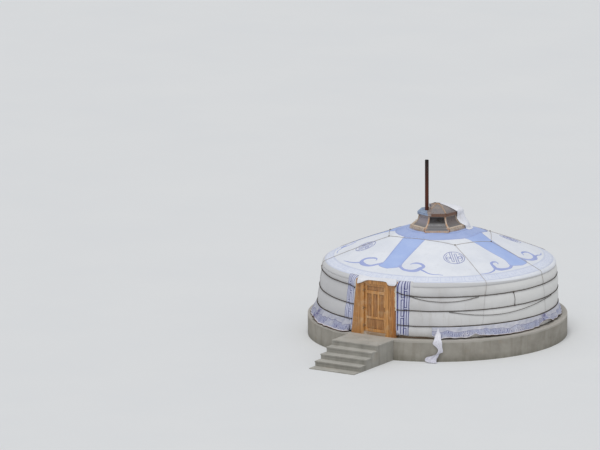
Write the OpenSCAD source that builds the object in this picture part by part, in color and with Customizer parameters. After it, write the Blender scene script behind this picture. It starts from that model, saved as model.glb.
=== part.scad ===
// Felt yurt with a printed canvas cover, on a round concrete plinth with steps.
// Millimetres. The origin is the centre of the plinth's underside and the door faces -Y.
// Azimuths are counted from the door's centre line, positive towards +X.
// Heights in the Yurt sections are counted from the top of the plinth.

/* [Plinth and steps] */
// Radius of the concrete plinth
plinth_r = 3780; // [3700:10:4200]
// Height of the plinth above the ground
plinth_h = 600; // [450:10:900]
// Width of the landing and the steps
stair_w = 1500; // [1100:10:1800]
// Distance from the yurt's centre to the front of the landing
landing_front = 4600; // [4400:10:4900]
// Depth of one tread
tread = 310; // [250:5:400]
// Height of the foot pad at the ground
pad_h = 24; // [15:1:60]

/* [Walls] */
// Outer radius of the wall cover at the plinth
wall_r_foot = 3500; // [3450:5:3550]
// Outer radius of the wall cover at the eave
wall_r_top = 3312; // [3280:2:3330]
// Heights of the three girth ropes
rope_heights = [370, 800, 1195];
// Radii of the cover under the three girth ropes
rope_seats = [3487, 3407, 3340];
// How far the cover swells between two ropes
wall_swell = 28; // [5:1:45]
// Thickness of the felt and canvas under a rope
felt_t = 45; // [25:1:60]
// Height of the lattice wall
lattice_h = 1500; // [1450:5:1520]

/* [Roof] */
// Height of the eave corner
eave_z = 1575; // [1550:5:1600]
// Radius of the eave corner
eave_r = 3300; // [3280:5:3320]
// Height of the cover where it meets the crown
crown_z = 2540; // [2450:5:2650]
// Radius of the cover's upper edge
crown_r = 845; // [800:5:900]
// How far the roof cover swells above a straight cone
roof_swell = 35; // [0:1:60]
// Number of roof poles
pole_count = 60; // [40:4:80]
// Diameter of a roof pole
pole_d = 32; // [25:1:45]

/* [Crown] */
// Number of sides of the glazed crown
crown_sides = 7; // [6:1:10]
// Turn of the crown's first strut from the door's centre line
crown_turn = 4; // [0:0.5:44]
// Radius of the narrowest part of the glazed crown
waist_r = 540; // [450:5:600]
// Radius of the cap's rim
cap_r = 585; // [520:5:640]
// Height of the underside of the cap's rim
cap_z = 2945; // [2900:5:3050]
// Height of the top of the cap
cap_top = 3235; // [3150:5:3300]

/* [Stove pipe] */
// Outer diameter of the pipe
pipe_d = 110; // [90:2:140]
// Height of the top of the pipe
pipe_top = 4520; // [3900:10:4800]
// Place of the pipe in plan
pipe_xy = [-273, -145];

/* [Door] */
// Distance from the yurt's centre to the front of the side boards
door_y = 3500; // [3480:5:3520]
// Half of the clear width between the jambs
door_half = 363; // [330:1:380]
// Width of a jamb's face
jamb_w = 98; // [70:1:120]
// Height of the opening
door_h = 1500; // [1400:5:1510]
// Height of the head board's top edge
head_top = 1607; // [1580:1:1640]
// Half widths of the boarding, left side, at foot and head
board_left = [786, 619];
// Half widths of the boarding, right side, at foot and head
board_right = [706, 689];
// Height of the threshold
sill_h = 84; // [50:1:120]
// Thickness of the door leaf
leaf_t = 40; // [30:1:50]

/* [Ropes] */
// Diameter of a girth rope
girth_d = 26; // [16:1:34]
// Diameter of a roof rope
rope_d = 16; // [10:1:20]
// Knots of the roof ropes on the ring rope, as azimuths
knot_turns = [51, 99, 143, 188, 232, 274, 315];
// Knots of the roof ropes on the ring rope, as radii
knot_radii = [1525, 1690, 1560, 1550, 1550, 1540, 1440];
// Azimuths at which the roof ropes come down over the eave
rope_feet = [56, 95, 143, 188, 232, 270, 306];

/* [Hidden] */
$fn = 48;
round_fn = 256; // for curves that go round the whole yurt

concrete = [0.66, 0.63, 0.57];
canvas = [0.93, 0.94, 0.96];
printed = [0.66, 0.74, 0.92];
varnish = [0.72, 0.46, 0.2];
bare_wood = [0.78, 0.62, 0.42];
red_wood = [0.7, 0.35, 0.2];
old_glass = [0.5, 0.53, 0.58];
rust = [0.35, 0.16, 0.1];
iron = [0.25, 0.24, 0.23];
rope_brown = [0.2, 0.17, 0.15];

gap = 1; // between cloth and what it lies beside
joint_gap = 6; // round the moving leaf
riser = (plinth_h - pad_h) / 4;

// Places round the yurt
function polar(az) = az - 90;
function around(r, az, z) = [r * sin(az), -r * cos(az), plinth_h + z];
module turned(az) { rotate([0, 0, polar(az)]) children(); }
module on_plinth() { translate([0, 0, plinth_h]) children(); }
module block(from, to) { translate(from) cube(to - from); }

// The wall cover's outline, swollen between the ropes
bottom_gap = 25;
seat_line = concat([[0, wall_r_foot]],
    [for (i = [0:len(rope_heights) - 1]) [rope_heights[i], rope_seats[i]]],
    [[eave_z, wall_r_top]]);
function wall_seat(z) = lookup(z, seat_line);

// The roof cover's outline: a cone with a slight belly and a rounded eave
eave_round = 120;
eave_out = 15;
roof_run = eave_r - crown_r;
function roof_u(r) = (eave_r - r) / roof_run;
function roof_z(r) = eave_z + (crown_z - eave_z) * roof_u(r) + roof_swell * sin(180 * roof_u(r));
roof_slope = atan((crown_z - eave_z) / roof_run);
eave_slope = atan((crown_z - eave_z + roof_swell * PI) / roof_run);
arc_r = eave_r + eave_out - eave_round;
arc_start_r = arc_r + eave_round * sin(eave_slope);
arc_z = roof_z(arc_start_r) - eave_round * cos(eave_slope);
wall_top = arc_z - 4;

bays = [[bottom_gap, rope_heights[0]], [rope_heights[0], rope_heights[1]],
    [rope_heights[1], rope_heights[2]], [rope_heights[2], wall_top]];
bay_steps = 6;
function bay_at(z) = z < rope_heights[0] ? bays[0] : z < rope_heights[1] ? bays[1]
    : z < rope_heights[2] ? bays[2] : bays[3];
function wall_r(z) = let (b = bay_at(z), u = (z - b[0]) / (b[1] - b[0]))
    wall_seat(z) + wall_swell * sin(180 * min(1, max(0, u)));

wall_outer = [for (b = bays, i = [0:bay_steps - 1])
    let (z = b[0] + (b[1] - b[0]) * i / bay_steps) [wall_r(z), z]];
wall_profile = concat(wall_outer, [[wall_seat(wall_top), wall_top]],
    [[wall_seat(wall_top) - felt_t, wall_top]],
    [for (i = [len(rope_heights) - 1:-1:0]) [rope_seats[i] - felt_t, rope_heights[i]]],
    [[wall_seat(bottom_gap) - felt_t, bottom_gap]]);

roof_steps = 8;
arc_steps = 6;
felt_drop = felt_t / cos(roof_slope);
inner_r = eave_r + eave_out - felt_t;
function roof_inner(r) = eave_z - felt_drop + (crown_z - eave_z) * roof_u(r);
roof_profile = concat(
    [for (i = [0:roof_steps]) let (r = crown_r + (arc_start_r - crown_r) * i / roof_steps)
        [r, roof_z(r)]],
    [for (i = [1:arc_steps]) let (a = (90 - eave_slope) * (1 - i / arc_steps))
        [arc_r + eave_round * cos(a), arc_z + eave_round * sin(a)]],
    [[inner_r, arc_z], [inner_r, arc_z + 10], [inner_r - 50, roof_inner(inner_r - 50)]],
    [[crown_r, roof_inner(crown_r)]]);

// Sides of the doorway
board_t = 35;
cheek_t = 25;
door_outline = [[-board_left[0], 0], [board_right[0], 0], [board_right[1], door_h],
    [-board_left[1], door_h]];
leaf_left = -door_half + joint_gap;
leaf_right = door_half - 13;
leaf_front = door_y - 40;
frame_depth = 290;

module xz_prism(points, y_from, y_to) {
    translate([0, y_to, 0]) rotate([90, 0, 0]) linear_extrude(y_to - y_from) polygon(points);
}
module door_void() {
    on_plinth() xz_prism([[-board_left[0] - gap, -1], [board_right[0] + gap, -1],
        [board_right[1] + gap, head_top], [-board_left[1] - gap, head_top]], -4000, -3000);
}

// Concrete
module plinth_drum() { color(concrete) cylinder(r = plinth_r, h = plinth_h, $fn = round_fn); }
slab_t = 38;
module step_block(y_from, y_to, h, nosing = 12) {
    color(concrete) difference() {
        union() {
            block([-stair_w / 2, -y_from, 0], [stair_w / 2, -y_to, h]);
            if (nosing > 0) block([-stair_w / 2 - nosing, -y_from - nosing, h - slab_t],
                [stair_w / 2 + nosing, -y_to, h]);
        }
        translate([0, 0, -1]) cylinder(r = plinth_r, h = plinth_h + 2, $fn = round_fn);
    }
}
module landing_block() { step_block(landing_front, plinth_r - 200, plinth_h); }
module tread_block(n) {
    step_block(landing_front + n * tread, landing_front + (n - 1) * tread, plinth_h - n * riser);
}
module stair_step_upper() { tread_block(1); }
module stair_step_middle() { tread_block(2); }
module stair_step_lower() { tread_block(3); }
module stair_foot_pad() {
    step_block(landing_front + 4 * tread + 20, landing_front + 3 * tread, pad_h, 0);
}

// Doorway
module door_jambs() {
    stop = 20;
    color(varnish) on_plinth() for (side = [-1, 1]) {
        x = side * (door_half + jamb_w / 2);
        union() {
            block([x - jamb_w / 2, -door_y - 10, 0], [x + jamb_w / 2, -door_y + frame_depth, door_h]);
            block([side * door_half - stop + (side < 0 ? stop : 0), -leaf_front + leaf_t + 8, sill_h],
                [side * door_half + (side < 0 ? stop : 0), -leaf_front + leaf_t + 40, door_h]);
        }
    }
}
module door_head() {
    lintel_h = 60;
    color(varnish) on_plinth() {
        union() {
            block([-board_left[1], -door_y, door_h], [board_right[1], -door_y + board_t, head_top]);
            block([-board_left[1], -door_y + board_t, head_top - 40],
                [board_right[1], -eave_r - 30, head_top]);
        }
        block([-door_half, -door_y + frame_depth - 60, door_h - lintel_h],
            [door_half, -door_y + frame_depth, door_h]);
    }
}
module side_board(sgn, foot, head) {
    union() {
        xz_prism([[sgn * (door_half + jamb_w), 0], [sgn * foot, 0], [sgn * head, door_h],
            [sgn * (door_half + jamb_w), door_h]], -door_y, -door_y + board_t);
        xz_prism([[sgn * (foot - cheek_t), 0], [sgn * foot, 0], [sgn * head, door_h],
            [sgn * (head - cheek_t), door_h]], -door_y + board_t, -door_y + frame_depth);
    }
}
module door_side_boards() {
    color(varnish) on_plinth() {
        side_board(-1, board_left[0], board_left[1]);
        side_board(1, board_right[0], board_right[1]);
    }
}
module door_threshold() {
    color(bare_wood) on_plinth()
        block([-door_half, -door_y - 10, 0], [door_half, -door_y + 110, sill_h]);
}

// Leaf
rails = [[sill_h + joint_gap, 173], [472, 532], [1204, 1294], [1428, door_h - joint_gap]];
stile_w = 78;
muntin_w = 58;
muntin_at = [-103, 103];
bar_edges = [leaf_left + stile_w, muntin_at[0] - muntin_w / 2, muntin_at[0] + muntin_w / 2,
    muntin_at[1] - muntin_w / 2, muntin_at[1] + muntin_w / 2, leaf_right - stile_w + 7];
leaf_holes = concat(
    [[[bar_edges[0], rails[0][1]], [bar_edges[5], rails[1][0]]]],
    [for (i = [0:2]) [[bar_edges[2 * i], rails[1][1]], [bar_edges[2 * i + 1], rails[2][0]]]],
    [[[bar_edges[0], rails[2][1]], [bar_edges[5], rails[3][0]]]]);
module rect(h) { translate(h[0]) square(h[1] - h[0]); }
module door_leaf_frame() {
    color(varnish) on_plinth() translate([0, -leaf_front + leaf_t, 0]) rotate([90, 0, 0])
        linear_extrude(leaf_t) difference() {
            rect([[leaf_left, rails[0][0]], [leaf_right, rails[3][1]]]);
            for (h = leaf_holes) rect(h);
        }
}
module door_leaf_panels() {
    panel_t = 14;
    field_in = 25;
    color(bare_wood) on_plinth() for (h = leaf_holes) union() {
        block([h[0][0], -leaf_front + 16, h[0][1]], [h[1][0], -leaf_front + 16 + panel_t, h[1][1]]);
        block([h[0][0] + field_in, -leaf_front + 8, h[0][1] + field_in],
            [h[1][0] - field_in, -leaf_front + 16, h[1][1] - field_in]);
    }
}

// Hinges on one upright axis in front of the left jamb
hinge_x = -door_half + 3;
hinge_y = -door_y - 21;
hinge_heights = [260, 780, 1300];
knuckle_r = 9;
knuckle_h = 26;
pin_r = 4.5;
module door_frame_hinges() {
    color(iron) on_plinth() for (z = hinge_heights) union() {
        for (side = [-1, 1]) translate([hinge_x, hinge_y, z + side * (knuckle_h + 1) - knuckle_h / 2])
            cylinder(r = knuckle_r, h = knuckle_h);
        translate([hinge_x, hinge_y, z - 1.5 * knuckle_h - 4]) cylinder(r = pin_r, h = 3 * knuckle_h + 8);
        for (side = [-1, 1]) block([hinge_x - 34, hinge_y + 7, z + side * (knuckle_h + 1) - knuckle_h / 2],
            [hinge_x, -door_y - 10, z + side * (knuckle_h + 1) + knuckle_h / 2]);
    }
}
module door_leaf_hinges() {
    web = 6;
    color(iron) on_plinth() for (z = hinge_heights) difference() {
        union() {
            translate([hinge_x, hinge_y, z - knuckle_h / 2]) cylinder(r = knuckle_r, h = knuckle_h);
            block([hinge_x + 6, hinge_y, z - knuckle_h / 2],
                [hinge_x + 6 + web, -leaf_front, z + knuckle_h / 2]);
            block([hinge_x + 6, -leaf_front - web, z - knuckle_h / 2],
                [hinge_x + 44, -leaf_front, z + knuckle_h / 2]);
        }
        translate([hinge_x, hinge_y, z - knuckle_h]) cylinder(r = pin_r + 0.6, h = 2 * knuckle_h);
    }
}
module door_handle() {
    bar = 14;
    grip = 120;
    reach = 38;
    x = leaf_right - 36;
    z = 720;
    color(iron) on_plinth() difference() {
        block([x - bar / 2, -leaf_front - reach, z], [x + bar / 2, -leaf_front, z + grip]);
        block([x - bar, -leaf_front - reach + bar, z + bar], [x + bar, -leaf_front + 1, z + grip - bar]);
    }
}

// Lattice wall: flat leaning facets, each a plate with diamond openings
lattice_from = 14;
lattice_to = 345;
panels = 4;
facets = 6;
facet_turn = (lattice_to - lattice_from) / (panels * facets);
lattice_t = 20;
lattice_r = [wall_r_foot - felt_t - 6, wall_r_top - felt_t - 6];
lean = atan((lattice_r[0] - lattice_r[1]) / lattice_h);
columns = 3;
rows = 5;
bar_w = 36;
facet_gap = 3.5; // at each edge of a facet
facet_w = [for (r = lattice_r) 2 * r * sin(facet_turn / 2)];
function facet_width(z) = facet_w[0] + (facet_w[1] - facet_w[0]) * z / lattice_h;
function facet_point(u, v) = let (z = v * lattice_h / rows)
    [(u / columns - 0.5) * facet_width(z), z];
mesh_u = facet_w[0] / columns;
mesh_v = lattice_h / rows;
bar_cut = bar_w / 2 * norm([mesh_u, mesh_v]);
hole_u = 0.5 - bar_cut / mesh_v / mesh_u;
hole_v = 0.5 - bar_cut / mesh_u / mesh_v;
function diamond(u, v) = [facet_point(u - hole_u, v), facet_point(u, v - hole_v),
    facet_point(u + hole_u, v), facet_point(u, v + hole_v)];
module lattice_facet() {
    difference() {
        polygon([[-facet_w[0] / 2 + facet_gap, 0], [facet_w[0] / 2 - facet_gap, 0],
            [facet_w[1] / 2 - facet_gap, lattice_h], [-facet_w[1] / 2 + facet_gap, lattice_h]]);
        for (i = [1:columns - 1], j = [0:rows]) polygon(diamond(i, j));
        for (i = [0:columns - 1], j = [0:rows - 1]) polygon(diamond(i + 0.5, j + 0.5));
        for (j = [0:rows]) polygon(diamond(0, j));
        for (j = [0:rows]) polygon(diamond(columns, j));
    }
}
module lattice_panel(n) {
    start = lattice_from + n * facets * facet_turn;
    color(red_wood) on_plinth() for (k = [0:facets - 1]) turned(start + (k + 0.5) * facet_turn)
        translate([lattice_r[0] * cos(facet_turn / 2), 0, lattice_t * sin(lean)]) rotate([90 - lean, 0, 90])
            translate([0, 0, -lattice_t]) linear_extrude(lattice_t) lattice_facet();
}
module lattice_wall_1() { lattice_panel(0); }
module lattice_wall_2() { lattice_panel(1); }
module lattice_wall_3() { lattice_panel(2); }
module lattice_wall_4() { lattice_panel(3); }

// Roof poles, from the lattice head into the sockets of the crown ring
ring_out = 826;
ring_in = 700;
ring_h = 90;
ring_top = crown_z - 5;
socket_depth = 45;
socket_play = 1;
pole_foot_r = 3190;
pole_drop = (pole_d / 2 + 2) / cos(roof_slope);
function pole_z(r) = roof_inner(r) - pole_drop;
pole_run = pole_foot_r - ring_out + socket_depth;
pole_rise = pole_z(pole_foot_r - pole_run) - pole_z(pole_foot_r);
module pole_set(from, to, play = 0) {
    for (i = [from:to]) turned((i + 0.5) * 360 / pole_count)
        translate([pole_foot_r, 0, pole_z(pole_foot_r)]) rotate([0, -90 + atan(pole_rise / pole_run), 0])
            cylinder(d = pole_d + play, h = norm([pole_rise, pole_run]) + play, $fn = 24);
}
module roof_poles_right() { color(red_wood) on_plinth() pole_set(0, pole_count / 2 - 1); }
module roof_poles_left() { color(red_wood) on_plinth() pole_set(pole_count / 2, pole_count - 1); }
module crown_ring() {
    color(red_wood) on_plinth() difference() {
        translate([0, 0, ring_top - ring_h]) rotate_extrude($fn = 64)
            translate([ring_in, 0]) square([ring_out - ring_in, ring_h]);
        pole_set(0, pole_count - 1, socket_play);
    }
}

// Crown: a seven-sided curb, curved struts with flat-sided panes between them, and a cap
curb_r = ring_out - 2;
curb_w = 88;
curb_h = 70;
curb_top = ring_top + curb_h;
side_turn = 360 / crown_sides;
// Board laid in front of the curb on the side that faces the steps
front_sill_w = 700;
front_sill_out = 842;
front_sill = let (face = curb_r * cos(side_turn / 2)) [[face - 12, ring_top + 6],
    [front_sill_out, ring_top + 6], [front_sill_out, curb_top + 22], [face + 24, curb_top + 22],
    [face + 12, curb_top - 1], [face - 12, curb_top - 1]];
module crown_outline(r) { rotate([0, 0, polar(crown_turn)]) circle(r = r, $fn = crown_sides); }
module crown_curb() {
    color(bare_wood) on_plinth() union() {
        translate([0, 0, ring_top]) linear_extrude(curb_h) difference() {
            crown_outline(curb_r);
            crown_outline(curb_r - curb_w);
        }
        turned(crown_turn + side_turn / 2) translate([0, front_sill_w / 2, 0]) rotate([90, 0, 0])
            linear_extrude(front_sill_w) polygon(front_sill);
    }
}
// A profile given at the struts, run straight from strut to strut on every side
module sides(profile, from_strut) {
    apex = from_strut / sin(side_turn / 2);
    reach = curb_r - apex;
    for (k = [0:crown_sides - 1]) turned(crown_turn + (k + 0.5) * side_turn) intersection() {
        translate([0, curb_r / 2, 0]) rotate([90, 0, 0]) linear_extrude(curb_r)
            polygon([for (p = profile) [p[0] * cos(side_turn / 2), p[1]]]);
        linear_extrude(2 * cap_top) polygon([[apex, 0], [curb_r, -reach * tan(side_turn / 2)],
            [curb_r, reach * tan(side_turn / 2)]]);
    }
}
module at_struts(profile, w) {
    for (k = [0:crown_sides - 1]) turned(crown_turn + k * side_turn)
        rotate([90, 0, 0]) translate([0, 0, -w / 2]) linear_extrude(w) polygon(profile);
}
// Band between two distances from a curve, where the curve is [centre, radius, first angle, sweep]
function on_curve(c, out, u) = c[0] + (c[1] + out) * [cos(c[2] + c[3] * u), sin(c[2] + c[3] * u)];
band_steps = 8;
function band(c, near, far, from = 0, to = 1) = concat(
    [for (i = [0:band_steps]) on_curve(c, far, from + (to - from) * i / band_steps)],
    [for (i = [band_steps:-1:0]) on_curve(c, near, from + (to - from) * i / band_steps)]);
// The struts' curve flares from the cap down to the curb
flare_r = 300;
strut_w = 46;
strut_deep = [-18, 22]; // outer and inner face from the curve
foot_turn = 6;
flare = [[waist_r + flare_r, curb_top + (flare_r + strut_deep[1]) * cos(foot_turn)], flare_r,
    -90 - foot_turn, foot_turn - 90];
sill_end = 0.16;
pane_at = [-3, 3];
rail_in = 3; // of a rail's end in the strut beside it
strut_top = [[waist_r - strut_deep[1], cap_z - gap], [waist_r - strut_deep[0], cap_z - gap]];
strut_side = [for (i = [0:band_steps]) on_curve(flare, strut_deep[1], i / band_steps)];
strut_face = [for (i = [band_steps:-1:0]) on_curve(flare, strut_deep[0], i / band_steps)];
head_rail = [for (p = [[strut_deep[0] + 6, 0], [strut_deep[0] + 6, 1], [strut_deep[1] - 6, 1],
    [strut_deep[1] - 6, 0]]) [waist_r - p[0], p[1] == 0 ? flare[0][1] + gap : cap_z - gap]];
module crown_struts() {
    color(bare_wood) on_plinth() union() {
        at_struts(concat(strut_side, strut_top, strut_face), strut_w);
        sides(head_rail, strut_w / 2 - rail_in);
        sides(band(flare, strut_deep[0] + 6, strut_deep[1], 0, sill_end), strut_w / 2 - rail_in);
    }
}
module crown_panes() {
    color(old_glass, 0.6) on_plinth() sides(band(flare, pane_at[0], pane_at[1], sill_end, 1), strut_w / 2);
}
// The cap is a shallow dome of ribs and panes on a seven-sided rim. Beside the stove pipe it is cut
// off upright, a board closes the cut, and a flat sheet round the pipe covers the rim there
cap_rise = 200;
cap_bend = (cap_r * cap_r + cap_rise * cap_rise) / (2 * cap_rise);
cap_turn = asin(cap_r / cap_bend);
dome = [[0, cap_top - cap_bend], cap_bend, 90, -cap_turn];
dome_pane = [-8, -2];
rib_w = 36;
rib_deep = [-30, 4];
rim_w = 62;
rim_top = dome[0][1] + (cap_bend + dome_pane[0]) * cos(cap_turn);
boss_r = 70;
boss_h = 60;
cut_turn = -59;
cut_at = 180;
cut_board = 16;
module beside_cut(from_x, from_z) {
    turned(cut_turn) block([from_x, -2 * cap_r, from_z], [2 * cap_r, 2 * cap_r, 2 * cap_top]);
}
module crown_cap_frame() {
    under_dome = concat([[0, cap_z + 20]],
        [for (i = [band_steps:-1:0]) on_curve(dome, dome_pane[0] - 2, i / band_steps)]);
    color(bare_wood) on_plinth() union() {
        translate([0, 0, cap_z]) linear_extrude(rim_top - cap_z) difference() {
            crown_outline(cap_r);
            crown_outline(cap_r - rim_w);
        }
        difference() {
            at_struts(band(dome, rib_deep[0], rib_deep[1], boss_r / 2 / cap_r, 0.97), rib_w);
            beside_cut(cut_at, rim_top);
        }
        intersection() {
            turned(cut_turn) block([cut_at - cut_board, -cap_r, cap_z + 20], [cut_at, cap_r, cap_top]);
            sides(under_dome, 0);
        }
        translate([0, 0, cap_top - boss_h]) cylinder(r = boss_r, h = boss_h + 2 * rib_deep[1]);
    }
}
module crown_cap_panes() {
    color(old_glass) on_plinth() difference() {
        sides(band(dome, dome_pane[0], dome_pane[1], boss_r / 2 / cap_r, 1), rib_w / 2);
        translate([0, 0, cap_top - 2 * boss_h]) cylinder(r = boss_r + 1, h = 3 * boss_h);
        beside_cut(cut_at, cap_z);
    }
}
module crown_posts() {
    post_d = 76;
    color(red_wood) on_plinth() for (side = [-1, 1]) translate([side * (ring_in + 62), 0, 0])
        cylinder(d = post_d, h = ring_top - ring_h);
}

// Stove pipe
pipe_wall = 4;
pipe_foot = 2380;
module chimney_pipe() {
    color(rust) on_plinth() translate([pipe_xy[0], pipe_xy[1], 0]) difference() {
        translate([0, 0, pipe_foot]) cylinder(d = pipe_d, h = pipe_top - pipe_foot);
        translate([0, 0, pipe_foot - 1]) cylinder(d = pipe_d - 2 * pipe_wall, h = pipe_top - pipe_foot + 2);
    }
}
module chimney_patch() {
    lift = 4;
    sheet = 6;
    color(old_glass) on_plinth() difference() {
        intersection() {
            beside_cut(cut_at + gap, 0);
            translate([0, 0, cap_z + 15]) linear_extrude(rim_top + gap + sheet - cap_z - 15)
                crown_outline(cap_r + lift + sheet);
        }
        translate([0, 0, cap_z]) linear_extrude(rim_top + gap - cap_z) crown_outline(cap_r + lift);
        translate([pipe_xy[0], pipe_xy[1], cap_z]) cylinder(d = pipe_d + 2, h = 600);
    }
}

// Cloth and felt covers
cover_from = 10;
cover_to = 346.8;
cover_turn = (cover_to - cover_from) / 4;
seam_turn = 0.03; // between two quarters of a cover
module wall_cover(n) {
    color(canvas) difference() {
        on_plinth() turned(cover_from + n * cover_turn)
            rotate_extrude(angle = cover_turn - seam_turn, $fn = round_fn) polygon(wall_profile);
        if (n == 0 || n == 3) door_void();
    }
}
module wall_cover_1() { wall_cover(0); }
module wall_cover_2() { wall_cover(1); }
module wall_cover_3() { wall_cover(2); }
module wall_cover_4() { wall_cover(3); }

roof_seam = 53;
module roof_cover(n) {
    color(printed) on_plinth() difference() {
        turned(roof_seam + n * 90) rotate_extrude(angle = 90 - seam_turn, $fn = round_fn)
            polygon(roof_profile);
        if (n == 3) block([-board_left[1] - 5, -2 * eave_r, 0],
            [board_right[1] + 5, -door_y + frame_depth + 2 * gap, door_h + gap]);
    }
}
module roof_cover_1() { roof_cover(0); }
module roof_cover_2() { roof_cover(1); }
module roof_cover_3() { roof_cover(2); }
module roof_cover_4() { roof_cover(3); }

cloth_t = 10;
module door_flap() {
    flap_from = -557;
    flap_to = 730;
    back_r = 3080;
    top = [[back_r, roof_z(back_r) + 3], [eave_r - 70, roof_z(eave_r - 70) + 6],
        [eave_r + 60, head_top + 8], [door_y + 25, head_top + 4], [door_y + 30, head_top - 60]];
    lifted = concat(top, [for (i = [len(top) - 1:-1:0])
        top[i] + (i == len(top) - 1 ? [cloth_t, 0] : i == len(top) - 2 ? [cloth_t, cloth_t] : [0, cloth_t])]);
    color(canvas) on_plinth() turned(0) rotate([90, 0, 0]) translate([0, 0, -flap_to])
        linear_extrude(flap_to - flap_from) polygon(lifted);
}
module crown_flap() {
    felt = 8;
    stand_off = 9;
    over = concat([for (u = [0.14, 0.3, 0.55, 0.8]) on_curve(dome, stand_off, u)], [[672, cap_top - 145],
        [736, cap_top - 179], [748, cap_z + 13], [806, cap_z - 137], [912, curb_top + 43],
        [1010, roof_z(1010) + stand_off], [1100, roof_z(1100) + stand_off]]);
    color(canvas) on_plinth() turned(94) rotate_extrude(angle = 134, $fn = 64)
        polygon(concat(over, [for (i = [len(over) - 1:-1:0]) over[i] + [felt * 0.5, felt]]));
}
skirt_top_z = rope_heights[0] - girth_d / 2 - 6;
// A skirt falls from the lowest rope and stands out from the wall at its hem and above it
module skirt(from, to, out) {
    hem = [[wall_r(14) + out[0], 14], [wall_r(180) + out[1], 180], [wall_r(skirt_top_z) + 3, skirt_top_z]];
    color(printed) on_plinth() turned(from) rotate_extrude(angle = to - from, $fn = round_fn)
        polygon(concat(hem, [for (i = [len(hem) - 1:-1:0]) hem[i] + [cloth_t, 0]]));
}
module skirt_right() { skirt(28.4, 185, [60, 14]); }
module skirt_left() { skirt(185.2, 346, [258, 80]); }
module torn_strip() {
    strip_w = 190;
    edge_r = plinth_r + 4;
    route = [[wall_r(300) + 30, plinth_h + 300], [wall_r(150) + 110, plinth_h + 90],
        [edge_r, plinth_h + 6], [edge_r + 6, 60], [edge_r + 110, 0]];
    color(canvas) turned(31.4) rotate([90, 0, 0]) translate([0, 0, -strip_w / 2])
        linear_extrude(strip_w) polygon(concat(route,
            [for (i = [len(route) - 1:-1:0]) route[i] + [cloth_t * 1.5, i == 4 ? 0 : cloth_t]]));
}

// Ropes: a round tube swept along points, its sides counted from a chosen direction
function unit(v) = v / norm(v);
function heading(p, i) = unit(p[min(i + 1, len(p) - 1)] - p[max(i - 1, 0)]);
module tube(p, r, side, n = 6) {
    rings = [for (i = [0:len(p) - 1]) let (t = heading(p, i), w = unit(cross(t, side)), u = cross(w, t))
        for (k = [0:n - 1]) p[i] + r * (cos(360 * k / n) * u + sin(360 * k / n) * w)];
    last = (len(p) - 1) * n;
    polyhedron(rings, concat(
        [[for (k = [0:n - 1]) k]],
        [for (i = [0:len(p) - 2], k = [0:n - 1])
            [i * n + k, (i + 1) * n + k, (i + 1) * n + (k + 1) % n, i * n + (k + 1) % n]],
        [[for (k = [n - 1:-1:0]) last + k]]));
}
girth_from = 12.3;
girth_to = 346.6;
module girth_ropes() {
    color(rope_brown) on_plinth() for (i = [0:len(rope_heights) - 1]) turned(girth_from)
        rotate_extrude(angle = girth_to - girth_from, $fn = round_fn)
            translate([rope_seats[i] + girth_d / 2 + gap, rope_heights[i]]) circle(d = girth_d, $fn = 24);
}
// Slack second strands: azimuth and height of points along each, joined by a smooth curve
upper_route = [[17, 1172], [21, 1135], [26, 1095], [31, 1070], [35, 1062], [40, 1072], [45, 1100],
    [49, 1138], [52.5, 1172]];
middle_route = [[36.5, 777], [43, 710], [50, 650], [57, 615], [64, 607], [71, 620], [78, 648],
    [85, 680], [92, 715], [99, 747], [106, 777]];
route_steps = 4;
function weave(a, b, c, d, t) = b + (c - a) * t / 2 + (a - 2.5 * b + 2 * c - d / 2) * t * t
    + (1.5 * b - a / 2 - 1.5 * c + d / 2) * t * t * t;
function along(p, i, t) = weave(p[max(i - 1, 0)], p[i], p[i + 1], p[min(i + 2, len(p) - 1)], t);
function woven(p) = concat([for (i = [0:len(p) - 2], k = [0:route_steps - 1]) along(p, i, k / route_steps)],
    [p[len(p) - 1]]);
module slack_strand(route) {
    color(rope_brown) tube([for (p = woven(route)) around(wall_r(p[1]) + rope_d, p[0], p[1])],
        rope_d / 2, [0, 0, 1], 8);
}
module slack_rope_upper() { slack_strand(upper_route); }
module slack_rope_middle() { slack_strand(middle_route); }
module rope_tie() {
    tie_az = 72;
    tie_gap = girth_d / 2 + rope_d / 2 + 3;
    run = rope_heights[2] - rope_heights[1] - 2 * tie_gap;
    color(rope_brown) tube([for (i = [0:8]) let (z = rope_heights[1] + tie_gap + run * i / 8)
        around(wall_r(z) + rope_d / 2 + gap, tie_az, z)], rope_d / 2, [1, 0, 0]);
}
// A taut rope between two points of the roof is straight on the unrolled cone
function unrolled(turn, r) = r / cos(roof_slope) * [cos(turn * cos(roof_slope)), sin(turn * cos(roof_slope))];
function roof_between(a, b, u) = let (p = (1 - u) * unrolled(0, a[1]) + u * unrolled(b[0] - a[0], b[1]))
    [a[0] + atan2(p[1], p[0]) / cos(roof_slope), norm(p) * cos(roof_slope)];
roof_lift = rope_d / 2 + 3;
function on_roof(p) = around(p[1], p[0], roof_z(p[1]) + roof_lift);
module roof_ropes() {
    wall_foot_z = rope_heights[2] + girth_d / 2 + 6;
    color(rope_brown) for (k = [0:len(knot_turns) - 1]) {
        az = rope_feet[k];
        down_roof = [for (i = [0:6])
            on_roof(roof_between([knot_turns[k], knot_radii[k] + 25], [az, arc_start_r], i / 6))];
        at_eave = [for (i = [1:4]) let (a = (90 - eave_slope) * (1 - i / 4))
            around(arc_r + (eave_round + roof_lift) * cos(a), az, arc_z + (eave_round + roof_lift) * sin(a))];
        on_wall = [for (i = [0:5]) let (z = wall_top - 10 + (wall_foot_z - wall_top + 10) * i / 5)
            around(max(wall_r(z), eave_r + eave_out) + roof_lift, az, z)];
        tube(concat(down_roof, at_eave, on_wall), rope_d / 2, [cos(az), sin(az), 0]);
    }
}
ring_steps = 6;
ring_bends = [[345, 1270], [380, 1250]]; // where the ring rope bears on the front of the roof
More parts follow.
